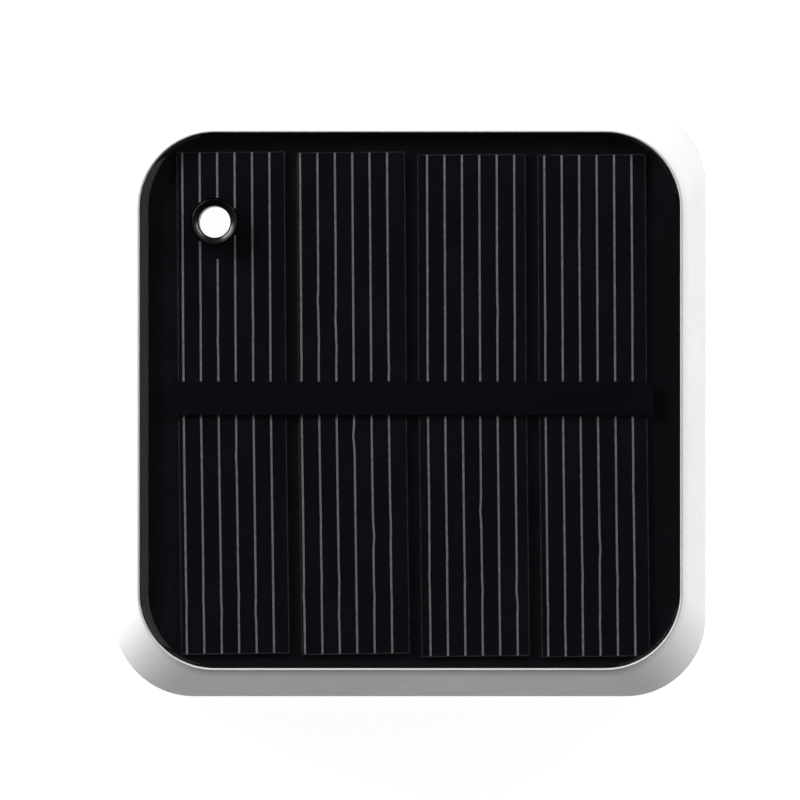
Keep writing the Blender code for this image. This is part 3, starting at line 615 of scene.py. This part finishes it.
print(sum(len(kinks) for kinks in KINKS.values()), "kinks in", 8 * FINGERS, "fingers")

# %% Solar cells
FINGER_STEP, CUT_EDGE = 0.5 * MM, 0.16 * MM
PRINT_GAP, PRINT_INSET, BROKEN_OFF = 0.005 * MM, 0.1 * MM, 5.1 * MM
DRIFT, DRIFT_WIDTH = 0.03, 4 * MM


def finger(x, low, high, kinks):
    """A flat strip along Y, pushed sideways by its kinks, with a little height."""
    steps = max(2, int((high - low) / FINGER_STEP))
    strip = bmesh.new()
    bmesh.ops.create_grid(strip, x_segments=1, y_segments=steps, size=1.0)
    for vertex in strip.verts:
        along = low + (high - low) * (vertex.co.y + 1) / 2
        stray = sum(size / (1 + ((along - place) / width) ** 2) for place, size, width in kinks)
        vertex.co = (x + vertex.co.x * FINGER_WIDTH / 2 + stray, along, 0)
    bmesh.ops.solidify(strip, geom=strip.faces[:], thickness=-FINGER_RISE)
    bmesh.ops.recalc_face_normals(strip, faces=strip.faces)
    return paint(strip, 1)


def solar_cell(row, column):
    name = f"{row}_{column + 1}"
    middle = Vector((
        COLUMN_SHIFT + (column - 1.5) * COLUMN_PITCH + ROW_SLIP[row],
        ROW_MIDDLE[row] + COLUMN_RISE[column], 0,
    ))
    place = Matrix.Translation(middle) @ Matrix.Rotation(radians(TILTS[row][column]), 4, "Z")
    half_x, half_y = CELL_X / 2, CELL_Y / 2
    wafer = paint(
        rounded_block((-half_x, -half_y, cell_low.z), (half_x, half_y, cell_high.z)), 2
    )
    step_in(wafer, flat_face(wafer), CUT_EDGE, 0.0).material_index = 0
    print_low = cell_high.z + PRINT_GAP
    strips = []
    opening = place.inverted() @ Vector((hole.x, hole.y, 0))
    for number in range(1, FINGERS + 1):
        x = (number - (FINGERS + 1) / 2) * FINGER_PITCH + PRINT_SHIFT[row][column] * MM
        kinks = [
            (y * MM - middle.y, size * MM, KINK_WIDTH)
            for which, y, size in KINKS[name] if which == number
        ]
        drift_place = draws.uniform(-half_y, half_y)
        kinks.append((drift_place, draws.uniform(-DRIFT, DRIFT) * MM, DRIFT_WIDTH))
        spans = [(PRINT_INSET - half_y, half_y - PRINT_INSET)]
        aside = x - opening.x
        if name == "upper_1" and abs(aside) < HOLE_CLEAR:
            reach = (HOLE_CLEAR**2 - aside**2) ** 0.5
            below = BROKEN_OFF if number == 3 else reach  # the third is broken off lower down
            spans = [(spans[0][0], opening.y - below), (opening.y + reach, spans[0][1])]
        strips.extend(finger(x, low, high, kinks) for low, high in spans)
    prints = gather(*strips)
    move(prints, (0, 0, print_low))
    move(prints, place)
    move(wafer, place)
    if name == "upper_1":
        wafer = reworked(wafer, "DIFFERENCE", pegs(
            hole_place, OPENING, cell_low.z - MM, cell_high.z + MM, HOLE_STEPS
        ))
    if name == "lower_4":
        wafer = reworked(wafer, "INTERSECT", rounded_block(
            (CELL_MARGIN - cover_high.x, CELL_MARGIN - cover_high.y, board_low.z),
            (cover_high.x - CELL_MARGIN, cover_high.y - CELL_MARGIN, cover_high.z),
            FACE_CORNER - CELL_MARGIN, CORNER_STEPS,
        ))
    whole = gather(wafer, prints)
    present(as_object(f"cell_{name}", whole), [silicon, silver, cut_edge], "silicon",
            f"solar_cell_{name}", weighted=False)


for row in ROW_MIDDLE:
    for column in range(4):
        solar_cell(row, column)

# %% [markdown]
# ## The hanging eyelet
# A polished black tube lines the hole. Its mouth is a shallow countersink that rolls over into the
# bore, and the slope catches both panels as soft crescents.

# %% Eyelet
black_gloss = Finish("black_gloss", (0.004, 0.004, 0.0045), 0.3, specular=0.2)
black_gloss.wear(0.24, 0.34, 900)
collar = (eyelet_high.x - eyelet_low.x) / 2
ROLL = 0.08 * MM
bore, sleeve, flange_low = 2.17 * MM, 2.6 * MM, cover_low.z + 0.1 * MM
eyelet_rim = (collar - ROLL, eyelet_high.z - ROLL)
throat = (bore + 0.33 * MM, eyelet_high.z - 0.33 * MM)
eyelet_profile = [
    (collar, flange_low), (sleeve, flange_low), (sleeve, eyelet_low.z), (bore, eyelet_low.z),
    (bore, throat[1] - 0.75 * MM), (bore + 0.03 * MM, throat[1] - 0.42 * MM),
    (bore + 0.12 * MM, throat[1] - 0.19 * MM), (bore + 0.22 * MM, throat[1] - 0.08 * MM),
    throat, *arc(eyelet_rim, ROLL, 120, 0), (collar, flange_low),
]
eyelet = as_object("eyelet", turned(eyelet_profile, 72, (hole.x, hole.y, 0)))
present(eyelet, [black_gloss], "black_gloss", "hanging_eyelet", crease=radians(60))

# %% [markdown]
# ## Flat layers that stay as they are
# The board, the foam frame, the ribbons and the masking strip are flat cut sheets, so the packed
# shapes are right. They only need finishes.

# %% Layers
black_board = Finish("black_board", (0.0075, 0.0072, 0.0094), 0.4, specular=0.02)
black_board.mottle((0.0064, 0.0062, 0.0084), (0.0088, 0.0082, 0.0108), 180)
black_board.wear(0.34, 0.46, 400)
black_tape = Finish("black_tape", (0.0035, 0.0030, 0.0058), 0.5, specular=0.02)
black_tape.mottle((0.0035, 0.0031, 0.0060), (0.0047, 0.0041, 0.0076), 150, (0.2, 1.0, 1.0))
foam = Finish("adhesive_foam", (0.05, 0.05, 0.05), 0.9)
foam.mottle((0.03, 0.03, 0.03), (0.08, 0.08, 0.08), 3000)
foam.grain(2500, 0.05 * MM)
tin = Finish("tinned_copper", (0.70, 0.70, 0.68), 0.3, 1.0)
tin.mottle((0.60, 0.60, 0.58), (0.78, 0.78, 0.76), 800, (0.3, 1.0, 1.0))
tin.wear(0.22, 0.42, 900, (0.3, 1.0, 1.0))


def refinish(finish, *names):
    """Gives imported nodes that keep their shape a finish."""
    for name in names:
        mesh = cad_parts[name].data
        mesh.materials.clear()
        mesh.materials.append(finish.material)


refinish(black_board, "backing_board")
refinish(foam, "adhesive_frame")
refinish(black_tape, "masking_strip")
refinish(tin, *(f"interconnect_{number}" for number in range(1, 8)))

# %% [markdown]
# ## The base cover
# The underside is a second moulding. It closes the shell, carries the battery box, and is full of
# pockets: for the door, the screw heads, the rubber feet and the output contacts. The mouths of
# the round pockets are chamfered, as a mould maker would do, so that parts drop in.

# %% Base cover
FOOT_LIFT = base_low.z
BOX_MIDDLE = 3.0 * MM
BOX_HALF_X, BOX_HALF_Y, BOX_WALL = 22.2 * MM, 28.2 * MM, 1.2 * MM
BOX_TOP, BOX_ROOF = base_high.z, 1.0 * MM
DOOR_TOP_HALF, DOOR_TAPER, DOOR_END = 23.6 * MM, 0.9 * MM, door_high.y
RECESS_TOP = door_high.z + GAP
half = base_high.x

plate = rounded_block(base_low, (half, half, PLATE_TOP), BASE_CORNER, CORNER_STEPS)
bevel(plate, edges_at(plate, base_low.z), 0.6 * MM, 6)
bevel(plate, edges_at(plate, PLATE_TOP), 0.12 * MM, 3)
base = as_object("base", plate)


def door_channel(grow, high, far_end, near_end, corner=0.0):
    """The dovetail of the door: wider above than below, and rounded at its far end if asked."""
    top_half = DOOR_TOP_HALF + grow
    shape = rounded_block(
        (BOX_MIDDLE - top_half, near_end, FOOT_LIFT), (BOX_MIDDLE + top_half, far_end, high),
        corner,
    )
    for vertex in shape.verts:
        if vertex.co.z < FOOT_LIFT + NEAR:
            vertex.co.x -= copysign(DOOR_TAPER, vertex.co.x - BOX_MIDDLE)
    return shape


rim_half = half - WALL - GAP
battery_box = rounded_block(
    (BOX_MIDDLE - BOX_HALF_X - BOX_WALL, -BOX_HALF_Y - BOX_WALL, PLATE_TOP - 0.5 * MM),
    (BOX_MIDDLE + BOX_HALF_X + BOX_WALL, BOX_HALF_Y + BOX_WALL, BOX_TOP), 1.5 * MM,
)
BOARD_SCREWS = [(-34.0 * MM, -23.6 * MM), (-34.0 * MM, 11.6 * MM)]
BOARD_SCREW_HOLE = 0.95 * MM
pcb_low, pcb_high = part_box("circuit_board")
rework(
    base, "UNION", round_edges(battery_box, 0.3 * MM),
    pegs(BOARD_SCREWS, 1.7 * MM, PLATE_TOP - 0.5 * MM, pcb_low.z - GAP),
)
outside = rounded_block(
    (-rim_half, -rim_half, PLATE_TOP - 0.5 * MM), (rim_half, rim_half, PLATE_TOP + 1.2 * MM),
    BASE_CORNER - WALL, 12,
)
inside = rounded_block(
    (MM - rim_half, MM - rim_half, PLATE_TOP - 0.6 * MM),
    (rim_half - MM, rim_half - MM, PLATE_TOP + 2 * MM), BASE_CORNER - WALL - MM, 12,
)
rework(base, "UNION", reworked(outside, "DIFFERENCE", inside))

# %% Pockets in the base cover
def middle_of(name):
    low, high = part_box(name)
    return (low + high) / 2


FEET = [middle_of(f"rubber_foot_{number}").xy for number in range(1, 5)]
CONTACTS = [middle_of(f"output_contact_{sign}").xy for sign in ("plus", "minus")]
room = rounded_block(
    (BOX_MIDDLE - BOX_HALF_X, -BOX_HALF_Y, FOOT_LIFT - MM),
    (BOX_MIDDLE + BOX_HALF_X, BOX_HALF_Y, BOX_TOP - BOX_ROOF), 0.4 * MM,
)
mouth = rounded_block(
    (BOX_MIDDLE - DOOR_TOP_HALF - GAP + DOOR_TAPER, -half - MM, FOOT_LIFT - MM),
    (BOX_MIDDLE + DOOR_TOP_HALF + GAP - DOOR_TAPER, DOOR_END + GAP, FOOT_LIFT + 0.01 * MM),
)
rework(
    base, "DIFFERENCE", room, door_channel(GAP, RECESS_TOP, DOOR_END + GAP, -half - MM), mouth,
    pegs(corner_places, 2.7 * MM, FOOT_LIFT, 2.4 * MM, mouth=0.25 * MM),
    pegs(corner_places, SCREW_HOLE, FOOT_LIFT - MM, PLATE_TOP + MM),
    pegs(FEET, 3.8 * MM, FOOT_LIFT, FOOT_LIFT + 0.7 * MM, mouth=0.15 * MM),
    pegs(CONTACTS, 2.9 * MM, FOOT_LIFT, FOOT_LIFT + 1.2 * MM, mouth=0.2 * MM),
    pegs(CONTACTS, 1.3 * MM, FOOT_LIFT - MM, PLATE_TOP + MM),
    pegs(hole_place, 3.4 * MM, FOOT_LIFT, PLATE_TOP + MM, HOLE_STEPS, mouth=0.4 * MM),
    pegs(BOARD_SCREWS, BOARD_SCREW_HOLE, PLATE_TOP - 0.6 * MM, pcb_low.z + MM),
    rounded_block((-21.5 * MM, 25.7 * MM, 12.0 * MM), (-18.0 * MM, 27.8 * MM, 14.6 * MM)),
    rounded_block((14.0 * MM, -30.0 * MM, 15.1 * MM), (16.6 * MM, -27.8 * MM, 17.4 * MM)),
)

# %% [markdown]
# A plus and a minus are sunk beside the two output contacts. Each is one or two short slots.

# %% Polarity marks
MARK_DEEP, MARK_LONG, MARK_WIDE = 0.35 * MM, 2.6 * MM, 0.65 * MM


def slot_cutter(x, y, long_x, long_y, deep=MARK_DEEP):
    return rounded_block(
        (x - long_x / 2, y - long_y / 2, FOOT_LIFT - MM),
        (x + long_x / 2, y + long_y / 2, FOOT_LIFT + deep), 0.25 * MM, 4,
    )


mark_x = CONTACTS[0].x + 5.2 * MM
rework(
    base, "DIFFERENCE",
    slot_cutter(mark_x, CONTACTS[0].y, MARK_LONG, MARK_WIDE),
    slot_cutter(mark_x, CONTACTS[0].y, MARK_WIDE, MARK_LONG, MARK_DEEP * 1.06),
    slot_cutter(mark_x, CONTACTS[1].y, MARK_LONG, MARK_WIDE),
)
RIB_X, RIB_HALF_X, RIB_HALF_Y, RIB_LOW = 7.35 * MM, 0.7 * MM, 18 * MM, 15 * MM
battery_ribs = [
    rounded_block(
        (BOX_MIDDLE + side * RIB_X - RIB_HALF_X, -RIB_HALF_Y, RIB_LOW),
        (BOX_MIDDLE + side * RIB_X + RIB_HALF_X, RIB_HALF_Y, BOX_TOP - 0.5 * MM),
    )
    for side in (-1, 1)
]
rework(base, "UNION", *battery_ribs)
present(base, [white_plastic], "white_plastic", "base_cover", crease=radians(30))

# %% [markdown]
# ## The battery door
# The door is a flat dovetail that slides out towards the near side. Four finger grooves and a
# small sunk arrow tell a thumb where to push. The grooves are cut with soft-edged cutters, because
# a sharp groove would collect dirt and look drawn on.

# %% Battery door
door = as_object("door", round_edges(
    door_channel(0.0, door_high.z, DOOR_END, door_low.y, 0.8 * MM), 0.12 * MM,
))
GRIPS, GRIP_START, GRIP_PITCH = 4, -31.0 * MM, 2.2 * MM
GRIP_HALF_X, GRIP_HALF_Y, GRIP_DEEP = 8.0 * MM, 0.5 * MM, 0.4 * MM


def groove(y):
    """A cutter with a half-round floor and round ends, for one finger groove."""
    shape = rounded_block(
        (BOX_MIDDLE - GRIP_HALF_X, y - GRIP_HALF_Y, FOOT_LIFT - MM),
        (BOX_MIDDLE + GRIP_HALF_X, y + GRIP_HALF_Y, FOOT_LIFT + GRIP_DEEP), 0.49 * MM,
    )
    bevel(shape, edges_at(shape, FOOT_LIFT + GRIP_DEEP), 0.3 * MM, 4)
    return shape


arrow = bmesh.new()
bmesh.ops.create_cone(
    arrow, cap_ends=True, segments=3, radius1=2.4 * MM, radius2=2.4 * MM, depth=2 * MM,
    matrix=Matrix.Translation((BOX_MIDDLE, -19.0 * MM, FOOT_LIFT + 0.4 * MM - MM))
    @ Matrix.Rotation(pi, 4, "Z"),
)
rework(
    door, "DIFFERENCE", arrow, *(groove(GRIP_START + GRIP_PITCH * n) for n in range(GRIPS)),
)
present(door, [white_plastic], "white_plastic", "battery_door", body="door", crease=radians(30))

# %% [markdown]
# ## Feet, screws and output contacts
# These are all turned parts: a profile of radius and height, spun once round. The screw heads get a
# cross cut into them, and the contacts a dimple, where a spring pin would sit.

# %% Rubber feet
rubber = Finish("rubber", (0.05, 0.05, 0.05), 0.8)
rubber.mottle((0.040, 0.040, 0.041), (0.062, 0.061, 0.060), 1500)
rubber.grain(6000, 0.03 * MM)
for number, place in enumerate(FEET, 1):
    low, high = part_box(f"rubber_foot_{number}")
    radius = (high - low).x / 2
    foot = turned([
        (0, high.z), (radius, high.z), (radius, low.z + 0.45 * MM),
        *arc((radius - 0.4 * MM, low.z + 0.45 * MM), 0.4 * MM, 0, -80, 5),
        (radius - 0.9 * MM, low.z), (1.5 * MM, low.z), (1.2 * MM, low.z + 0.08 * MM),
        (0, low.z + 0.1 * MM),
    ], 48, (*place, 0))
    present(as_object(f"foot_{number}", foot), [rubber], "rubber", f"rubber_foot_{number}")

# %% Screws
steel = Finish("zinc_steel", (0.62, 0.62, 0.60), 0.3, 1.0)
steel.mottle((0.52, 0.52, 0.50), (0.68, 0.68, 0.66), 900)
steel.wear(0.24, 0.42, 1500)


def cross_cutter(x, y, low, high, reach, width):
    """A cross recess that narrows as it goes in."""
    ends, sides = reach * 0.45, width / 5
    return [
        rounded_block((x - a, y - b, low), (x + a, y + b, high), draft=narrowing)
        for a, b, narrowing in (
            (reach, width / 2, (ends, sides)), (width / 2, reach, (sides, ends))
        )
    ]


HEAD_HIGH, SHANK = 2.1 * MM, 1.0 * MM
THREAD_START, THREAD_STEP, THREAD_DEEP = 0.6 * MM, 0.35 * MM, 0.22 * MM
thread = [
    (SHANK - THREAD_DEEP * (turn % 2), HEAD_HIGH + THREAD_START + THREAD_STEP * turn)
    for turn in range(20)
]
for number in range(1, 5):
    low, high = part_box(f"housing_screw_{number}")
    middle, head = (low + high) / 2, (high - low).x / 2
    screw = turned([
        (0, low.z + 0.02 * MM), (head - 0.75 * MM, low.z + 0.02 * MM),
        *arc((head - 0.55 * MM, low.z + 0.55 * MM), 0.55 * MM, -75, 0, 6), (head, HEAD_HIGH),
        (SHANK, HEAD_HIGH), *thread, (0.5 * MM, high.z - 0.4 * MM), (0, high.z),
    ], 40, (middle.x, middle.y, 0))
    piece = as_object(f"screw_{number}", screw)
    rework(piece, "DIFFERENCE", *cross_cutter(
        middle.x, middle.y, low.z - 0.01 * MM, low.z + 0.75 * MM, 1.25 * MM, 0.55 * MM
    ))
    present(piece, [steel], "zinc_steel", f"housing_screw_{number}")

# %% Output contacts
nickel = Finish("nickel_plate", (0.70, 0.69, 0.66), 0.25, 1.0)
nickel.mottle((0.62, 0.61, 0.58), (0.76, 0.75, 0.72), 700)
nickel.wear(0.18, 0.34, 1200)
for name, place in zip(("plus", "minus"), CONTACTS):
    low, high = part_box(f"output_contact_{name}")
    radius = (high - low).x / 2
    contact = turned([
        (0, low.z + 0.12 * MM), (0.6 * MM, low.z + 0.10 * MM), (1.0 * MM, low.z),
        (radius - 0.25 * MM, low.z),
        *arc((radius - 0.25 * MM, low.z + 0.25 * MM), 0.25 * MM, -75, 0),
        (radius, low.z + 0.8 * MM), (1.0 * MM, low.z + 0.8 * MM), (1.0 * MM, high.z - 0.1 * MM),
        (0.9 * MM, high.z), (0, high.z),
    ], 48, (*place, 0))
    present(as_object(f"contact_{name}", contact), [nickel], "nickel_plate",
            f"output_contact_{name}")

# %% [markdown]
# ## Batteries, plates and springs
# The three AA cells show when the door is off. Each is spun upright and laid down, its sleeve
# shrunk over the rims of a nickelled can, with a vented cap at the positive end.

# %% Batteries
sleeve_wrap = Finish("battery_sleeve", (0.10, 0.32, 0.16), 0.35)
sleeve_wrap.mottle((0.085, 0.29, 0.14), (0.11, 0.34, 0.17), 120)
sleeve_wrap.wear(0.28, 0.42, 500)
sleeve_band = Finish("battery_sleeve_band", (0.80, 0.80, 0.76), 0.35)
sleeve_band.mottle((0.74, 0.74, 0.70), (0.82, 0.82, 0.78), 200)
AA_RADIUS, AA_LENGTH = 7.1 * MM, 50.5 * MM
BARE_RADIUS, BARE_ABOVE = 5.95 * MM, 48.9 * MM  # where the can shows past its sleeve
BAND_LOW, BAND_HIGH = 8.0 * MM, 12.0 * MM
aa_profile = [
    (0, 0.05 * MM), (5.4 * MM, 0), (5.9 * MM, 0.2 * MM),  # bottom of the can
    (6.1 * MM, 0.02 * MM), *arc((6.65 * MM, 0.45 * MM), 0.45 * MM, -90, 0, 4),  # sleeve edge
    (AA_RADIUS, BAND_LOW), (AA_RADIUS, BAND_HIGH), (AA_RADIUS, 45.9 * MM),
    *arc((6.4 * MM, 48.6 * MM), 0.7 * MM, 0, 90, 5), (5.6 * MM, 49.2 * MM),
    (5.4 * MM, 49.0 * MM), (2.8 * MM, 49.0 * MM), (2.7 * MM, 50.2 * MM), (2.4 * MM, AA_LENGTH),
    (0, AA_LENGTH),
]
for number in range(1, 4):
    name = f"aa_battery_{number}"
    low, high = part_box(name)
    way = -1 if number == 2 else 1
    middle = (low + high) / 2
    lying = Matrix.Rotation(-way * pi / 2, 4, "X")
    battery = turned(aa_profile, 64)
    for face in battery.faces:
        place = face.calc_center_median()
        around = hypot(place.x, place.y)
        if around < BARE_RADIUS and (place.z < MM or place.z > BARE_ABOVE):
            face.material_index = 1
        elif BAND_LOW < place.z < BAND_HIGH:
            face.material_index = 2
    move(battery, lying)
    start = low.y if way > 0 else high.y
    move(battery, (middle.x, start, middle.z))
    present(as_object(f"battery_{number}", battery), [sleeve_wrap, nickel, sleeve_band],
            "battery_sleeve", name)

# %% [markdown]
# The contact plates are stamped strip with rounded corners. The springs are cones of wire, made as
# a curve and turned into a mesh.

# %% Contact plates
battery_x = [middle_of(f"aa_battery_{number}").x for number in (1, 2, 3)]
battery_z = sum(v.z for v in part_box("aa_battery_1")) / 2
for name in ("battery_contact_plus", "battery_contact_minus", "battery_bridge_rear",
             "battery_bridge_front"):
    low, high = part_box(name)
    plate = rounded_block(low, high)
    across = [e for e in plate.edges if abs(e.verts[0].co.y - e.verts[1].co.y) > NEAR]
    bevel(plate, across, 1.2 * MM, 6)
    piece = as_object(name.replace("battery_", "plate_"), round_edges(plate, 0.08 * MM, 2))
    present(piece, [nickel], "nickel_plate", name)

# %% Contact springs
SPRING_TURNS, SPRING_STEPS, WIRE = 2.5, 28, 0.35 * MM
SPRING_WIDE, SPRING_NARROW = 4.4 * MM, 2.4 * MM


def wire_along(name, points, radius, resolution=3):
    """A round wire through the points, as a mesh with closed ends."""
    curve = bpy.data.curves.new(name, "CURVE")
    curve.dimensions = "3D"
    curve.bevel_depth = radius
    curve.bevel_resolution = resolution
    curve.use_fill_caps = True
    spline = curve.splines.new("POLY")
    spline.points.add(len(points) - 1)
    for knot, place in zip(spline.points, points):
        knot.co = (*place, 1.0)
    helper = bpy.data.objects.new(name, curve)
    link(helper)
    bpy.context.view_layer.update()
    mesh = bpy.data.meshes.new_from_object(
        helper.evaluated_get(bpy.context.evaluated_depsgraph_get())
    )
    bpy.data.objects.remove(helper)
    shape = bmesh.new()
    shape.from_mesh(mesh)
    bmesh.ops.remove_doubles(shape, verts=shape.verts, dist=WELD)
    bmesh.ops.recalc_face_normals(shape, faces=shape.faces)
    return as_object(name, shape)


for number in range(1, 4):
    name = f"contact_spring_{number}"
    low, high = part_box(name)
    way = -1 if number == 2 else 1
    start = low.y + WIRE if way > 0 else high.y - WIRE
    rise = high.y - low.y - 2 * WIRE
    coil = []
    steps = int(SPRING_TURNS * SPRING_STEPS)
    for step in range(steps + 1):
        share = step / steps
        angle = 2 * pi * SPRING_TURNS * share
        radius = SPRING_WIDE + share * (SPRING_NARROW - SPRING_WIDE)
        coil.append((
            battery_x[number - 1] + radius * cos(angle), start + way * share * rise,
            battery_z + radius * sin(angle),
        ))
    present(wire_along(f"spring_{number}", coil, WIRE), [nickel], "nickel_plate", name,
            weighted=False)

# %% [markdown]
# ## The charging board
# Inside, a small green board holds a blocking diode, so that the batteries don't drain through the
# face at night, a controller chip and a capacitor. The copper lines under the green lacquer are a
# pattern of the material: a brick texture on the board reads as parallel tracks.

# %% Board finishes
lacquer = Finish("circuit_green", (0.02, 0.16, 0.07), 0.35)
tracks = lacquer.nodes.new("ShaderNodeTexBrick")
tracks.inputs["Scale"].default_value = 160.0
tracks.inputs["Mortar Size"].default_value = 0.05
tracks.inputs["Color1"].default_value = (0.016, 0.13, 0.055, 1)
tracks.inputs["Color2"].default_value = (0.020, 0.15, 0.065, 1)
tracks.inputs["Mortar"].default_value = (0.05, 0.27, 0.12, 1)
lacquer.links.new(lacquer.coordinates.outputs["Object"], tracks.inputs["Vector"])
lacquer.links.new(tracks.outputs["Color"], lacquer.shader.inputs["Base Color"])
lacquer.wear(0.28, 0.42, 800)
moulded_black = Finish("chip_black", (0.02, 0.02, 0.02), 0.55)
moulded_black.mottle((0.016, 0.016, 0.017), (0.026, 0.026, 0.026), 2500)
moulded_black.grain(7000, 0.01 * MM)
can_sleeve = Finish("capacitor_can", (0.05, 0.07, 0.20), 0.35)
can_sleeve.mottle((0.042, 0.060, 0.18), (0.060, 0.080, 0.22), 900)

# %% Board, chip, capacitor and diode
board = round_edges(rounded_block(pcb_low, pcb_high, 0.8 * MM), 0.08 * MM, 2)
circuit = as_object("charging_board", board)
rework(circuit, "DIFFERENCE", pegs(BOARD_SCREWS, BOARD_SCREW_HOLE, pcb_low.z - MM, pcb_high.z + MM))
present(circuit, [lacquer], "circuit_green", "circuit_board")

low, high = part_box("charge_controller")
chip_body = rounded_block(
    (low.x + 0.6 * MM, low.y, low.z + 0.15 * MM), (high.x - 0.6 * MM, high.y, high.z),
    draft=(0.15 * MM, 0.15 * MM),
)
legs = []
for side, edge in ((-1, low.x), (1, high.x)):
    for leg in range(4):
        y = low.y + (leg + 0.5) * (high.y - low.y) / 4
        inner = edge - side * 0.7 * MM
        legs.append(paint(rounded_block(
            (min(edge, inner), y - 0.2 * MM, low.z),
            (max(edge, inner), y + 0.2 * MM, low.z + 0.3 * MM),
        ), 1))
chip = as_object("controller_chip", gather(round_edges(chip_body, 0.06 * MM, 2), *legs))
present(chip, [moulded_black, tin], "chip_black", "charge_controller")

low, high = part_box("filter_capacitor")
radius, middle = (high - low).x / 2, (low + high) / 2
can = turned([
    (0, low.z), (radius - 0.1 * MM, low.z), (radius, low.z + 0.1 * MM), (radius, low.z + 0.35 * MM),
    (radius - 0.2 * MM, low.z + 0.6 * MM), (radius, low.z + 0.85 * MM),
    *arc((radius - 0.35 * MM, high.z - 0.35 * MM), 0.35 * MM, 0, 80, 5),
    (radius - 0.6 * MM, high.z), (radius - 0.7 * MM, high.z - 0.08 * MM), (0, high.z - 0.08 * MM),
], 40, (middle.x, middle.y, 0))
for face in can.faces:
    centre = face.calc_center_median() - middle
    on_top = centre.z > 0 and hypot(centre.x, centre.y) < radius - 0.6 * MM
    face.material_index = 1 if on_top else 0
present(as_object("capacitor", can), [can_sleeve, tin], "capacitor_can", "filter_capacitor")

low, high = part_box("blocking_diode")
radius, half_y, middle = (high - low).x / 2, (high - low).y / 2, (low + high) / 2
LEG, DIODE_END, MARK_LOW, MARK_HIGH = 0.4 * MM, 2.8 * MM, 1.4 * MM, 2.1 * MM
diode = turned([
    (0, -half_y), (LEG, -half_y), (LEG, -DIODE_END), (radius - 0.2 * MM, -DIODE_END),
    (radius, -2.6 * MM), (radius, MARK_LOW), (radius, MARK_HIGH), (radius, 2.6 * MM),
    (radius - 0.2 * MM, DIODE_END), (LEG, DIODE_END), (LEG, half_y), (0, half_y),
], 32)
for face in diode.faces:
    centre = face.calc_center_median()
    if abs(centre.z) > DIODE_END + 0.05 * MM:
        face.material_index = 1
    elif MARK_LOW < centre.z < MARK_HIGH:
        face.material_index = 2
move(diode, Matrix.Rotation(pi / 2, 4, "X"))
move(diode, middle)
present(as_object("diode", diode), [moulded_black, tin, sleeve_band], "chip_black",
        "blocking_diode")

for number in (1, 2):
    low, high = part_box(f"board_screw_{number}")
    middle, head = (low + high) / 2, (high - low).x / 2
    head_low = pcb_high.z + GAP
    small = as_object(f"small_screw_{number}", turned([
        (0, low.z), (0.45 * MM, low.z + 0.2 * MM), (0.65 * MM, low.z + 0.5 * MM),
        (0.65 * MM, head_low), (head, head_low), (head, head_low + 0.4 * MM),
        *arc((head - 0.6 * MM, high.z - 0.6 * MM), 0.6 * MM, 15, 80, 4), (0, high.z),
    ], 32, (middle.x, middle.y, 0)))
    present(small, [steel], "zinc_steel", f"board_screw_{number}")

# %% [markdown]
# ## The leads
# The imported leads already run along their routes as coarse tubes. A copy of each is welded, its
# triangles are joined to quads, and one subdivision makes it round, so the route stays the same.

# %% Leads
INSULATION = {  # a colour, and the two shades that it drifts between
    "red": ((0.60, 0.03, 0.02), (0.54, 0.026, 0.018), (0.64, 0.036, 0.024)),
    "black": ((0.02, 0.02, 0.02), (0.016, 0.016, 0.016), (0.028, 0.028, 0.028)),
}


def rounder(node, name, finish, slot):
    """A smoother copy of a packed lead."""
    shape = bmesh.new()
    shape.from_mesh(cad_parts[node].data)
    bmesh.ops.remove_doubles(shape, verts=shape.verts, dist=NEAR)
    bmesh.ops.join_triangles(shape, faces=shape.faces, angle_face_threshold=radians(30),
                             angle_shape_threshold=radians(60))
    bmesh.ops.recalc_face_normals(shape, faces=shape.faces)
    paint(shape, 0)
    piece = as_object(name, shape)
    rounding = piece.modifiers.new("rounding", "SUBSURF")
    rounding.levels = rounding.render_levels = 1
    present(piece, [finish], slot, node, weighted=False)


for colour, (plain, first, second) in INSULATION.items():
    insulation = Finish(f"{colour}_insulation", plain, 0.45)
    insulation.mottle(first, second, 400)
    insulation.grain(4000, 0.01 * MM)
    for lead, wire in (("solar", "face"), ("battery", "battery")):
        rounder(f"{lead}_lead_{colour}", f"{wire}_wire_{colour}", insulation,
                f"{colour}_insulation")
